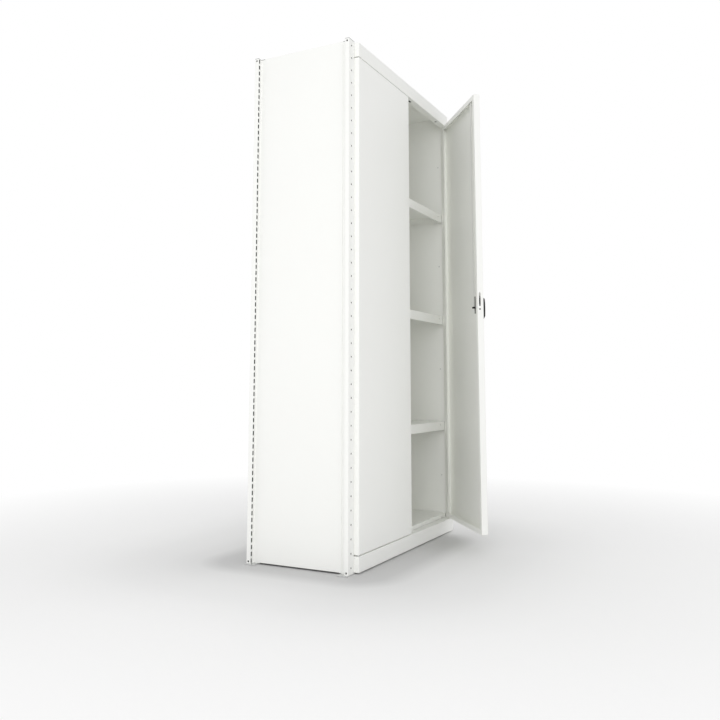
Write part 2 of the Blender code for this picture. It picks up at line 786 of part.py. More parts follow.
def build_lock(hinge):
    """Build the lock case with its bolt and bar, and return the cutter for the case screw."""
    low, high = case_box()
    case = add_piece("lock_case", box(low, high), hinge, "zinc")
    cavity_end = low[0] + bolt_length + bolt_travel + clearance
    cavity_low, cavity_high = bolt_box(low[0] - cut_overrun, cavity_end, bolt_slot_width, bolt_slot_height)
    cavity = box(cavity_low, cavity_high)
    add_cylinder(cavity, spindle_diameter + 2 * clearance, (spindle_x(), low[1] - cut_overrun, spindle_height),
                 (0.0, case_thick + 2 * cut_overrun, 0.0), knob_facets)
    combine(case, add_tool("lock_case_cavity", cavity, hinge))
    bolt_low, bolt_high = bolt_box(-door_reach, bolt_length - door_reach, bolt_slot_width - 2 * bolt_side_play,
                                   bolt_slot_height - 2 * bolt_side_play)
    add_piece("latch_bolt", box(bolt_low, bolt_high), hinge, "bright steel")
    build_lock_bar(hinge)
    pocket = bmesh.new()
    add_cylinder(pocket, screw_hole_diameter, (-door_reach - cut_overrun, front_y(case_behind_front), spindle_height),
                 (case_pocket_depth + cut_overrun, 0.0, 0.0), hole_facets)
    pocket_tool = add_tool("lock_screw_pocket", pocket, hinge)
    combine(case, pocket_tool)
    return pocket_tool


def bar_box(low_z, high_z, play=0.0):
    """Return the corners of a box about the lock bar's line, widened by a play."""
    line_x = bar_from_edge - door_reach
    line_y = front_y(bar_behind_front)
    half_x = bar_width / 2 + play
    half_y = bar_thick / 2 + play
    return (line_x - half_x, line_y - half_y, low_z), (line_x + half_x, line_y + half_y, high_z)


def build_lock_bar(hinge):
    """Build the lock bar and the guide that steadies it under the door's top."""
    bar_top = door_top - bar_below_door_top
    bar_low, bar_high = bar_box(spindle_height + bar_foot_above_spindle, bar_top)
    add_piece("lock_bar", box(bar_low, bar_high), hinge, "bright steel")
    guide_top = door_top - pan_sheet - clearance
    guide_low, guide_high = bar_box(guide_top - guide_height, guide_top, guide_play + guide_wall)
    guide = add_piece("lock_bar_guide", box(guide_low, guide_high), hinge, "grey plastic")
    hole_low, hole_high = bar_box(guide_top - guide_height - cut_overrun, guide_top + cut_overrun, guide_play)
    combine(guide, add_tool("guide_hole", box(hole_low, hole_high), hinge))


def cut_lock_openings(door, hinge, screw_pocket):
    """Cut the right door for its bolt, screw, spindle and lock bar."""
    combine(door, bolt_slot_tool("right", hinge))
    combine(door, screw_pocket)
    shape = bmesh.new()
    add_cylinder(shape, spindle_diameter + hole_play, (spindle_x(), front_y(0.0) - cut_overrun, spindle_height),
                 (0.0, pan_sheet + 2 * cut_overrun, 0.0), knob_facets)
    low, high = bar_box(door_top - pan_sheet - cut_overrun, door_top + cut_overrun, guide_play)
    add_box(shape, low, high)
    combine(door, add_tool("lock_openings", shape, hinge))


def build_doors(datum):
    """Hang both doors and fit the lock to the right one."""
    hinges = {
        "left": add_empty("left_door_hinge", (hinge_left_x, hinge_y, 0.0), datum, -left_door_open),
        "right": add_empty("right_door_hinge", (hinge_right_x, hinge_y, 0.0), datum, right_door_open),
    }
    doors = {side: build_door(side, hinge) for side, hinge in hinges.items()}
    build_hinges(datum, hinges)
    combine(doors["left"], bolt_slot_tool("left", hinges["left"]))
    carrier = add_empty("handle_axis", (spindle_x(), front_y(0.0), spindle_height), hinges["right"])
    build_handle(carrier, hinges["right"])
    screw_pocket = build_lock(hinges["right"])
    cut_lock_openings(doors["right"], hinges["right"], screw_pocket)


def main():
    """Build the cupboard about its datum."""
    clear_scene()
    datum = add_empty("cupboard_datum", (-datum_x, -datum_y, 0.0))
    corners = add_corners(datum)
    build_posts(corners)
    build_foot_plates(corners)
    build_post_caps(corners)
    build_side_panels(datum)
    build_back_panel(datum)
    build_top_rail(datum)
    build_plinth(datum)
    build_shelves(datum)
    build_clips(corners)
    build_doors(datum)


main()
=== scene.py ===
"""Looks of the storage cupboard: punched posts, folded trays, shelves, fittings and their finishes.

World axes: X across the front, Y from the front to the back, Z up. Lengths are metres.
"""
import json
import logging
import math
from dataclasses import dataclass
from enum import Enum
from functools import lru_cache
from typing import Iterable, Iterator, Sequence, Union

import bmesh
import bpy
from mathutils import Matrix, Vector


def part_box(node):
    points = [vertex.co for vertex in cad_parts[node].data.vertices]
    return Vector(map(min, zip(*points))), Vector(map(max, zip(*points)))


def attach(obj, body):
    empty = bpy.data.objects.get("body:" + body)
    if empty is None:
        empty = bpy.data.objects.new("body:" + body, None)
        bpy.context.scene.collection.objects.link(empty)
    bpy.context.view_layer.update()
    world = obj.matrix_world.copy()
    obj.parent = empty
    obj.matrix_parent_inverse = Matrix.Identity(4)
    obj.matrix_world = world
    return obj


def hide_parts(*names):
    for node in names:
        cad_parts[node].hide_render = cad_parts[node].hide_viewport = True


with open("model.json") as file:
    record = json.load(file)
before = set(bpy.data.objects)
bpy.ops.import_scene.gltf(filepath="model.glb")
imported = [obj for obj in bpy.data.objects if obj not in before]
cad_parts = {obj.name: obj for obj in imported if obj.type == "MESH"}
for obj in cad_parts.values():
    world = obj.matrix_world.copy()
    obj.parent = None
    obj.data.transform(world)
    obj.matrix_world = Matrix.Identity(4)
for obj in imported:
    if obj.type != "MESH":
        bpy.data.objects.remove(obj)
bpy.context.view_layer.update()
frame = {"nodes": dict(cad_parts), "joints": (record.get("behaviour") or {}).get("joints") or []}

log = logging.getLogger("cupboard")
Colour = tuple[float, float, float]
Point = Sequence[float]
Profile = Sequence[tuple[float, float]]
UP = Vector((0.0, 0.0, 1.0))
HERE = Matrix.Identity(4)
QUARTER = math.pi / 2

# Height of the bay from the floor to the posts' ends
BAY_HEIGHT = 2.0

# Angles between faces: a smooth shading break, a fold to round, and what still counts as flat
SMOOTH_BELOW = math.radians(40.0)
FOLD_ABOVE = math.radians(45.0)
FLAT_BELOW = math.radians(1.0)

# A direction's share of an axis, above which it runs along it
ALONG = 0.9

# Small edges of cast and pressed parts: how long one is before it is rounded, and in how many steps
LONG_EDGE = 0.003
EDGE_STEPS = 2

# Gaps that close when the points of a turned piece, a post's blank or a node's copy are merged
SPUN_SEAM = 0.000001
BLANK_SEAM = 0.000002
NODE_SEAM = 0.000005


class Body(Enum):
    """The moving and standing bodies that pieces ride on."""

    CARCASS = "carcass"
    LEFT_DOOR = "left_door"
    RIGHT_DOOR = "right_door"
    HANDLE = "handle"
    KEY_CYLINDER = "key_cylinder"
    BOLT = "bolt"
    BAR = "bar"


class Slot(Enum):
    """The material slots of the cupboard."""

    ENAMEL = "white_enamel"
    ZINC = "zinc"
    GREY_PLASTIC = "grey_plastic"
    BLACK_PLASTIC = "black_plastic"
    BRIGHT_STEEL = "bright_steel"


class Level(Enum):
    """The shelves, from the floor up."""

    FLOOR = "floor"
    LOWER = "lower"
    MIDDLE = "middle"
    UPPER = "upper"
    TOP = "top"


class Side(Enum):
    """Left and right, as (name, body of the door there, way along X from the middle)."""

    LEFT = ("left", Body.LEFT_DOOR, -1.0)
    RIGHT = ("right", Body.RIGHT_DOOR, 1.0)

    def __init__(self, label: str, door: Body, outward: float) -> None:
        """Keep what the side's values say."""
        self.label = label
        self.door = door
        self.outward = outward


class Corner(Enum):
    """The corners of the bay, as (name, whether its post is turned to the back, side that faces the bay)."""

    FRONT_LEFT = ("front_left", False, 1)
    FRONT_RIGHT = ("front_right", False, -1)
    REAR_LEFT = ("rear_left", True, -1)
    REAR_RIGHT = ("rear_right", True, 1)

    def __init__(self, label: str, turned: bool, bay_side: int) -> None:
        """Keep what the corner's values say; the bay's side is in the post's own frame."""
        self.label = label
        self.turned = turned
        self.bay_side = bay_side

    def place(self) -> Matrix:
        """Find the frame at the middle of the post's face.

        Returns:
            The frame, with Y into the bay.
        """
        low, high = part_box("post_" + self.label)
        middle = (low.x + high.x) / 2
        if self.turned:
            return Matrix.Translation((middle, high.y, 0.0)) @ Matrix.Rotation(math.pi, 4, "Z")
        return Matrix.Translation((middle, low.y, 0.0))


class Stretch(Enum):
    """What a run of the post's section is."""

    STEM = "stem"
    BEND = "bend"
    FLANGE = "flange"
    RETURN = "return"
    FACE = "face"


class Value:
    """A shader output that takes part in sums and products."""

    def __init__(self, graph: "Graph", socket: bpy.types.NodeSocket) -> None:
        """Keep the socket and the graph that it belongs to."""
        self.graph = graph
        self.socket = socket

    def _math(self, operation: str, first: "Number", second: "Number") -> "Value":
        """Add a Math node for two numbers."""
        return self.graph.node("ShaderNodeMath", {"operation": operation}, {0: first, 1: second})

    def __add__(self, other: "Number") -> "Value":
        """Return the sum."""
        return self._math("ADD", self, other)

    def __radd__(self, other: "Number") -> "Value":
        """Return the sum, with the number first."""
        return self._math("ADD", other, self)

    def __sub__(self, other: "Number") -> "Value":
        """Return the difference."""
        return self._math("SUBTRACT", self, other)

    def __rsub__(self, other: "Number") -> "Value":
        """Return the difference, with the number first."""
        return self._math("SUBTRACT", other, self)

    def __mul__(self, other: "Number") -> "Value":
        """Return the product."""
        return self._math("MULTIPLY", self, other)

    def __rmul__(self, other: "Number") -> "Value":
        """Return the product, with the number first."""
        return self._math("MULTIPLY", other, self)


Number = Union[Value, float]


class Graph:
    """The node tree of one material or of the world."""

    noise_roughness = 0.55

    def __init__(self, owner: Union[bpy.types.Material, bpy.types.World]) -> None:
        """Start on the owner's node tree."""
        owner.use_nodes = True
        self.tree = owner.node_tree

    def feed(self, socket: bpy.types.NodeSocket, value: object) -> None:
        """Link a value to a socket, or set the socket to it.

        Args:
            socket: the input to feed.
            value: a shader output, or what the socket is set to.
        """
        if isinstance(value, Value):
            self.tree.links.new(value.socket, socket)
        else:
            socket.default_value = value

    def node(self, kind: str, settings: Union[dict, None] = None, inputs: Union[dict, None] = None,
             output: Union[int, str] = 0) -> Value:
        """Add a node.

        Args:
            kind: the node's type.
            settings: the node's own settings; "stops" holds a ramp's (position, colour) pairs.
            inputs: values or links of its sockets, by name or index.
            output: the output wanted, by name or index.

        Returns:
            The output as a value.
        """
        made = self.tree.nodes.new(kind)
        for name, setting in (settings or {}).items():
            if name == "stops":
                self._set_stops(made.color_ramp, setting)
            else:
                setattr(made, name, setting)
        for key, value in (inputs or {}).items():
            self.feed(made.inputs[key], value)
        return Value(self, made.outputs[output])

    @staticmethod
    def _set_stops(ramp: bpy.types.ColorRamp, stops: Sequence[tuple[float, Colour]]) -> None:
        """Give a ramp its stops.

        Args:
            ramp: the ramp of a new node.
            stops: its (position, colour) pairs in order.
        """
        while len(ramp.elements) < len(stops):
            ramp.elements.new(1.0)
        for element, (position, colour) in zip(ramp.elements, stops):
            element.position = position
            element.color = (*colour, 1.0)

    def place(self) -> Value:
        """Return the object coordinates."""
        return self.node("ShaderNodeTexCoord", output="Object")

    def stretched(self, scale: Point) -> Value:
        """Return the object coordinates scaled along each axis."""
        return self.node("ShaderNodeMapping", {}, {"Vector": self.place(), "Scale": tuple(scale)})

    def noise(self, scale: float, detail: float = 2.0, where: Union[Value, None] = None) -> Value:
        """Add noise from 0 to 1.

        Args:
            scale: how fine it is.
            detail: how many finer layers it has.
            where: its coordinates, or None for the object's own.

        Returns:
            The noise.
        """
        return self.node("ShaderNodeTexNoise", {}, {"Vector": where or self.place(), "Scale": scale,
                                                    "Detail": detail, "Roughness": self.noise_roughness})

    def mix(self, share: Number, first: Colour, second: Colour) -> Value:
        """Return a colour between two others."""
        inputs = {0: share, 6: (*first, 1.0), 7: (*second, 1.0)}
        return self.node("ShaderNodeMix", {"data_type": "RGBA"}, inputs, output=2)

    def bump(self, height: Value, depth: float, strength: float) -> Value:
        """Return the normal of a surface raised by the height times the depth."""
        return self.node("ShaderNodeBump", {}, {"Height": height, "Distance": depth, "Strength": strength})

    def vector(self, operation: str, *terms: Union[Value, Point], output: str = "Vector") -> Value:
        """Add a Vector Math node for its terms."""
        return self.node("ShaderNodeVectorMath", {"operation": operation}, dict(enumerate(terms)), output)


@dataclass(frozen=True)
class Surface:
    """What varies over a finish: its shade from dark to light, its roughness and its normal."""

    shade: Value
    roughness: Value
    normal: Value


@dataclass(frozen=True)
class Finish:
    """What all finishes share: a slot, a colour, its darkest share, and a gloss."""

    slot: Slot
    colour: Colour
    roughness: float
    metallic: float = 0.0
    dark_share: float = 1.0

    def surface(self, graph: Graph) -> Surface:
        """Return what varies over the surface."""
        raise NotImplementedError

    @lru_cache(maxsize=None)
    def material(self) -> bpy.types.Material:
        """Make the finish's material, once.

        Returns:
            The material.
        """
        material = bpy.data.materials.new(self.slot.value)
        graph = Graph(material)
        inputs = graph.tree.nodes["Principled BSDF"].inputs
        surface = self.surface(graph)
        dark = tuple(channel * self.dark_share for channel in self.colour)
        graph.feed(inputs["Base Color"], graph.mix(surface.shade, dark, self.colour))
        graph.feed(inputs["Metallic"], self.metallic)
        graph.feed(inputs["Roughness"], surface.roughness)
        graph.feed(inputs["Normal"], surface.normal)
        material.diffuse_color = (*self.colour, 1.0)
        return material


@dataclass(frozen=True)
class Enamel(Finish):
    """Baked powder coat: a faint mottle, fine orange peel and a satin gloss that varies a little."""

    dark_share: float = 0.985
    mottle_scale: float = 5.0
    mottle_detail: float = 3.0
    peel_scale: float = 420.0
    peel_detail: float = 1.5
    peel_depth: float = 0.00010
    peel_strength: float = 0.35
    grain_scale: float = 2600.0
    grain_detail: float = 1.0
    grain_share: float = 0.12
    gloss_change: float = 0.07

    def surface(self, graph: Graph) -> Surface:
        """Add mottle, peel and gloss.

        Args:
            graph: the material's node tree.

        Returns:
            What varies over the surface.
        """
        mottle = graph.noise(self.mottle_scale, self.mottle_detail)
        grain = graph.noise(self.grain_scale, self.grain_detail)
        gloss = self.roughness + (grain - 0.5) * self.gloss_change + (mottle - 0.5) * self.gloss_change
        peel = graph.noise(self.peel_scale, self.peel_detail) + grain * self.grain_share
        return Surface(mottle, gloss, graph.bump(peel, self.peel_depth, self.peel_strength))


@dataclass(frozen=True)
class Zinc(Finish):
    """Zinc plate: soft crystal patches, rolling marks and a cloudy gloss."""

    dark_share: float = 0.80
    patch_scale: float = 160.0
    patch_share: float = 0.6
    line_scale: tuple[float, float, float] = (60.0, 60.0, 1400.0)
    line_share: float = 0.4
    line_depth: float = 0.00004
    line_strength: float = 0.4
    gloss_change: float = 0.16

    def surface(self, graph: Graph) -> Surface:
        """Add patches and rolling marks.

        Args:
            graph: the material's node tree.

        Returns:
            What varies over the surface.
        """
        patches = graph.node("ShaderNodeTexVoronoi", {"feature": "F1"},
                             {"Vector": graph.place(), "Scale": self.patch_scale}, "Color")
        tone = graph.node("ShaderNodeSeparateColor", {}, {"Color": patches})
        lines = graph.noise(1.0, where=graph.stretched(self.line_scale))
        cloud = tone * self.patch_share + lines * self.line_share
        relief = graph.bump(lines, self.line_depth, self.line_strength)
        return Surface(cloud, self.roughness + cloud * self.gloss_change, relief)


@dataclass(frozen=True)
class Moulding(Finish):
    """Moulded plastic: an even fine grain with a soft sheen."""

    dark_share: float = 0.86
    cloud_scale: float = 45.0
    grain_scale: float = 1500.0
    grain_depth: float = 0.00006
    grain_strength: float = 0.5
    gloss_change: float = 0.18

    def surface(self, graph: Graph) -> Surface:
        """Add grain and a little change of shade.

        Args:
            graph: the material's node tree.

        Returns:
            What varies over the surface.
        """
        grain = graph.noise(self.grain_scale)
        cloud = graph.noise(self.cloud_scale)
        gloss = self.roughness + (grain - 0.5) * self.gloss_change
        return Surface(cloud, gloss, graph.bump(grain, self.grain_depth, self.grain_strength))


@dataclass(frozen=True)
class Plated(Finish):
    """Bright plated steel: drawn lines along the piece and a few dull spots."""

    dark_share: float = 0.9
    spot_scale: float = 220.0
    spot_detail: float = 3.0
    spot_gloss: float = 0.06
    line_scale: tuple[float, float, float] = (900.0, 900.0, 30.0)
    line_gloss: float = 0.10
    line_depth: float = 0.00003
    line_strength: float = 0.3

    def surface(self, graph: Graph) -> Surface:
        """Add drawn lines and dull spots.

        Args:
            graph: the material's node tree.

        Returns:
            What varies over the surface.
        """
        lines = graph.noise(1.0, where=graph.stretched(self.line_scale))
        spots = graph.noise(self.spot_scale, self.spot_detail)
        gloss = self.roughness + lines * self.line_gloss + spots * self.spot_gloss
        return Surface(spots, gloss, graph.bump(lines, self.line_depth, self.line_strength))


WHITE = Enamel(Slot.ENAMEL, (0.956, 0.960, 0.935), 0.42)
ZINC = Zinc(Slot.ZINC, (0.76, 0.77, 0.76), 0.34, 0.7)
GREY = Moulding(Slot.GREY_PLASTIC, (0.46, 0.47, 0.46), 0.42)
BLACK = Moulding(Slot.BLACK_PLASTIC, (0.012, 0.012, 0.013), 0.48)
BRIGHT = Plated(Slot.BRIGHT_STEEL, (0.66, 0.66, 0.64), 0.18, 1.0)
SATIN = Plated(Slot.BRIGHT_STEEL, (0.88, 0.88, 0.86), 0.40, 0.3)
DULL = Zinc(Slot.ZINC, (0.24, 0.24, 0.235), 0.5, 0.3)
# Near-black steel: painted shade on the inner skins of the posts and rails, so that their slots and holes
# read dark; also the dark case screw
DARK_STEEL_AND_PAINTED_SHADE = Zinc(Slot.BRIGHT_STEEL, (0.10, 0.10, 0.097), 0.55, 0.4)


class Shape:
    """A mesh under work, shaped by bmesh operators."""

    def __init__(self) -> None:
        """Start with nothing."""
        self.mesh = bmesh.new()

    def block(self, low: Point, high: Point) -> "Shape":
        """Add a block.

        Args:
            low, high: its lowest and highest corners.

        Returns:
            The shape.
        """
        size = Vector(high) - Vector(low)
        place = Matrix.Translation((Vector(high) + Vector(low)) / 2) @ Matrix.Diagonal((*size, 1.0))
        bmesh.ops.create_cube(self.mesh, size=1.0, matrix=place)
        return self

    def rod(self, radius: float, start: Point, end: Point, facets: int = 24) -> "Shape":
        """Add a plain rod.

        Args:
            radius: its radius.
            start, end: the middles of its ends.
            facets: steps of a full turn.

        Returns:
            The shape.
        """
        along = Vector(end) - Vector(start)
        turn = UP.rotation_difference(along).to_matrix().to_4x4()
        place = Matrix.Translation((Vector(start) + Vector(end)) / 2) @ turn
        bmesh.ops.create_cone(self.mesh, cap_ends=True, segments=facets, radius1=radius, radius2=radius,
                              depth=along.length, matrix=place)
        return self

    def spun(self, profile: Profile, place: Matrix, facets: int = 32, closed: bool = False) -> "Shape":
        """Add a turned piece.

        Args:
            profile: (radius, height) points; a radius of zero lies on the axis.
            place: frame whose Z axis is the piece's axis.
            facets: steps of a full turn.
            closed: whether the profile runs round and back to its start, as on a ring.

        Returns:
            The shape.
        """
        verts = [self.mesh.verts.new((radius, 0.0, height)) for radius, height in profile]
        pairs = list(zip(verts, verts[1:]))
        if closed:
            pairs.append((verts[-1], verts[0]))
        edges = [self.mesh.edges.new(pair) for pair in pairs]
        before = set(self.mesh.verts) - set(verts)
        bmesh.ops.spin(self.mesh, geom=verts + edges, cent=(0.0, 0.0, 0.0), axis=UP, dvec=(0.0, 0.0, 0.0),
                       angle=2 * math.pi, steps=facets, use_merge=True)
        made = [vert for vert in self.mesh.verts if vert not in before]
        bmesh.ops.remove_doubles(self.mesh, verts=made, dist=SPUN_SEAM)
        made = [vert for vert in self.mesh.verts if vert not in before]
        bmesh.ops.transform(self.mesh, matrix=place, verts=made)
        faces = list(dict.fromkeys(face for vert in made for face in vert.link_faces))
        bmesh.ops.recalc_face_normals(self.mesh, faces=faces)
        return self

    def folds(self, longer_than: float = 0.0) -> list[bmesh.types.BMEdge]:
        """Find the edges where two faces meet at a clear angle.

        Args:
            longer_than: the length that an edge has to pass.

        Returns:
            The edges.
        """
        return [edge for edge in self.mesh.edges if len(edge.link_faces) == 2
                and edge.calc_face_angle(0.0) > FOLD_ABOVE and edge.calc_length() > longer_than]

    def rounded(self, radius: float, segments: int = 3,
                edges: Union[Iterable[bmesh.types.BMEdge], None] = None) -> "Shape":
        """Round some edges.

        Args:
            radius: how far the rounding reaches from each edge.
            segments: its steps.
            edges: the edges, or None for every fold.

        Returns:
            The shape.
        """
        chosen = list(self.folds() if edges is None else edges)
        bmesh.ops.bevel(self.mesh, geom=chosen, offset=radius, offset_type="OFFSET", segments=segments,
                        profile=0.5, affect="EDGES", clamp_overlap=True, material=-1)
        return self

    def moved(self, place: Matrix) -> "Shape":
        """Put the whole shape into another frame."""
        bmesh.ops.transform(self.mesh, matrix=place, verts=self.mesh.verts)
        return self

    def facing(self, direction: Point) -> "Shape":
        """Turn an open sheet's faces.

        Args:
            direction: where its largest face is to look.

        Returns:
            The shape.
        """
        bmesh.ops.recalc_face_normals(self.mesh, faces=self.mesh.faces)
        largest = max(self.mesh.faces, key=lambda face: face.calc_area())
        if largest.normal.dot(Vector(direction)) < 0:
            bmesh.ops.reverse_faces(self.mesh, faces=self.mesh.faces)
        return self

    def took(self, mesh: bpy.types.Mesh) -> "Shape":
        """Take in a mesh that nothing else uses.

        Args:
            mesh: the mesh, which is removed.

        Returns:
            The shape.
        """
        self.mesh.from_mesh(mesh)
        bpy.data.meshes.remove(mesh)
        return self

    def joined(self, other: "Shape") -> "Shape":
        """Take in a copy of another shape.

        Args:
            other: the shape to copy.

        Returns:
            The shape.
        """
        carrier = bpy.data.meshes.new("carrier")
        other.mesh.to_mesh(carrier)
        return self.took(carrier)

    def copied(self, places: Iterable[Matrix]) -> "Shape":
        """Repeat the shape.

        Args:
            places: the frames that its copies stand in.

        Returns:
            A new shape with all the copies.
        """
        result = Shape()
        for place in places:
            result.joined(Shape().joined(self).moved(place))
        return result

    def to_mesh(self, name: str) -> bpy.types.Mesh:
        """Let go of the shape.

        Args:
            name: name of the mesh.

        Returns:
            The shape's mesh.
        """
        mesh = bpy.data.meshes.new(name)
        self.mesh.to_mesh(mesh)
        self.mesh.free()
        return mesh


def evaluated(item: bpy.types.Object) -> bpy.types.Mesh:
    """Apply an object's modifiers and remove the object.

    Args:
        item: the object.

    Returns:
        Its finished mesh.
    """
    graph = bpy.context.evaluated_depsgraph_get()
    mesh = bpy.data.meshes.new_from_object(item.evaluated_get(graph))
    bpy.data.objects.remove(item, do_unlink=True)
    return mesh


def shown(name: str, mesh: bpy.types.Mesh) -> bpy.types.Object:
    """Put a mesh into the scene.

    Args:
        name: name of its object.
        mesh: the mesh.

    Returns:
        The object.
    """
    item = bpy.data.objects.new(name, mesh)
    bpy.context.scene.collection.objects.link(item)
    return item


def with_two_coats(mesh: bpy.types.Mesh) -> bpy.types.Mesh:
    """Make room on a mesh for the finishes of its outer and its inner skin.

    Args:
        mesh: a mesh without materials.

    Returns:
        The mesh.
    """
    for _ in range(2):
        mesh.materials.append(None)
    return mesh


def solid(shape: Shape, sheet: float = 0.0, cutters: Sequence[Shape] = (),
          lined: bool = False) -> bpy.types.Mesh:
    """Give an open sheet its thickness and cut its openings.

    Args:
        shape: the shape, whose faces look outwards.
        sheet: thickness laid inwards, or zero for a shape that is closed already.
        cutters: closed shapes to cut away.
        lined: whether the inner skin takes a second finish.

    Returns:
        The finished mesh.
    """
    item = shown("blank", shape.to_mesh("blank"))
    if sheet:
        wall = item.modifiers.new("Sheet", "SOLIDIFY")
        wall.thickness = sheet
        wall.offset = -1.0
        wall.use_even_offset = True
        if lined:
            with_two_coats(item.data)
            wall.material_offset = 1
    tools = [shown("cutter", cutter.to_mesh("cutter")) for cutter in cutters]
    for tool in tools:
        cut = item.modifiers.new("Cut", "BOOLEAN")
        cut.operation = "DIFFERENCE"
        cut.solver = "EXACT"
        cut.object = tool
    mesh = evaluated(item)
    for tool in tools:
        bpy.data.objects.remove(tool, do_unlink=True)
    return mesh


def add_piece(name: str, mesh: bpy.types.Mesh, finish: Finish, body: Body, stands_for: Sequence[str] = (),
              place: Matrix = HERE, lining: Union[Finish, None] = None) -> None:
    """Add a finished piece to the cupboard.

    Args:
        name: the piece's name.
        mesh: its closed mesh.
        finish: its finish.
        body: the body that it rides on.
        stands_for: the frame's nodes that it replaces.
        place: the frame that its mesh is drawn in.
        lining: finish of the inner skin of a lined sheet.
    """
    mesh.transform(place)
    mesh.name = name
    for index, coat in enumerate(coat for coat in (finish, lining) if coat):
        if index == len(mesh.materials):
            mesh.materials.append(None)
        mesh.materials[index] = coat.material()
    mesh.shade_smooth()
    mesh.set_sharp_from_angle(angle=SMOOTH_BELOW)
    item = shown(name, mesh)
    weigh = item.modifiers.new("Flat faces stay flat", "WEIGHTED_NORMAL")
    weigh.keep_sharp = True
    if stands_for:
        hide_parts(*stands_for)
    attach(item, body.value)
    log.info("%s: %d faces", name, len(mesh.polygons))


def node_copy(node: str) -> Shape:
    """Copy a frame node's mesh as clean faces, in its own place.

    Args:
        node: the node's name.

    Returns:
        The copy as a shape.
    """
    shape = Shape()
    shape.mesh.from_mesh(frame["nodes"][node].data)
    bmesh.ops.remove_doubles(shape.mesh, verts=shape.mesh.verts, dist=NODE_SEAM)
    bmesh.ops.dissolve_limit(shape.mesh, angle_limit=FLAT_BELOW, verts=shape.mesh.verts,
                             edges=shape.mesh.edges, use_dissolve_boundaries=False)
    return shape


def local_box(node: str, place: Matrix) -> tuple[Vector, Vector]:
    """Measure a node as seen from a frame.

    Args:
        node: the node's name.
        place: the frame.

    Returns:
        The node's lowest and highest corner in that frame.
    """
    back = place.inverted()
    points = [back @ vert.co for vert in frame["nodes"][node].data.vertices]
    low = Vector([min(point[axis] for point in points) for axis in range(3)])
    high = Vector([max(point[axis] for point in points) for axis in range(3)])
    return low, high


def joint(name: str) -> dict:
    """Return a joint of the frame."""
    return next(item for item in frame["joints"] if item["name"] == name)


def door_frame(side: Side) -> Matrix:
    """Find the frame of a door.

    Args:
        side: the door's side.

    Returns:
        The frame on its hinge axis, along the closed door's X, turned as far as the door stands open.
    """
    hinge = joint(side.label + "_door_hinge")
    turn = math.radians(-hinge["range_deg"][0]) * hinge["axis"][2]
    return Matrix.Translation((hinge["pos_m"][0], hinge["pos_m"][1], 0.0)) @ Matrix.Rotation(turn, 4, "Z")


@dataclass(frozen=True)
class Run:
    """One straight stretch or one bend of a folded sheet's outer line."""

    kind: Stretch
    length: float
    turn: float = 0.0

    def end(self, x: float, y: float, heading: float, share: float = 1.0) -> tuple[float, float, float]:
        """Follow the run.

        Args:
            x, y: where it starts.
            heading: its direction there, in radians.
            share: how far along it, from 0 to 1.

        Returns:
            The place's x and y and the heading there.
        """
        if not self.turn:
            way = self.length * share
            return x + way * math.cos(heading), y + way * math.sin(heading), heading
        radius = self.length / abs(self.turn)
        side = math.copysign(1.0, self.turn)
        after = heading + self.turn * share
        centre_x = x - side * radius * math.sin(heading)
        centre_y = y + side * radius * math.cos(heading)
        return centre_x + side * radius * math.sin(after), centre_y - side * radius * math.cos(after), after


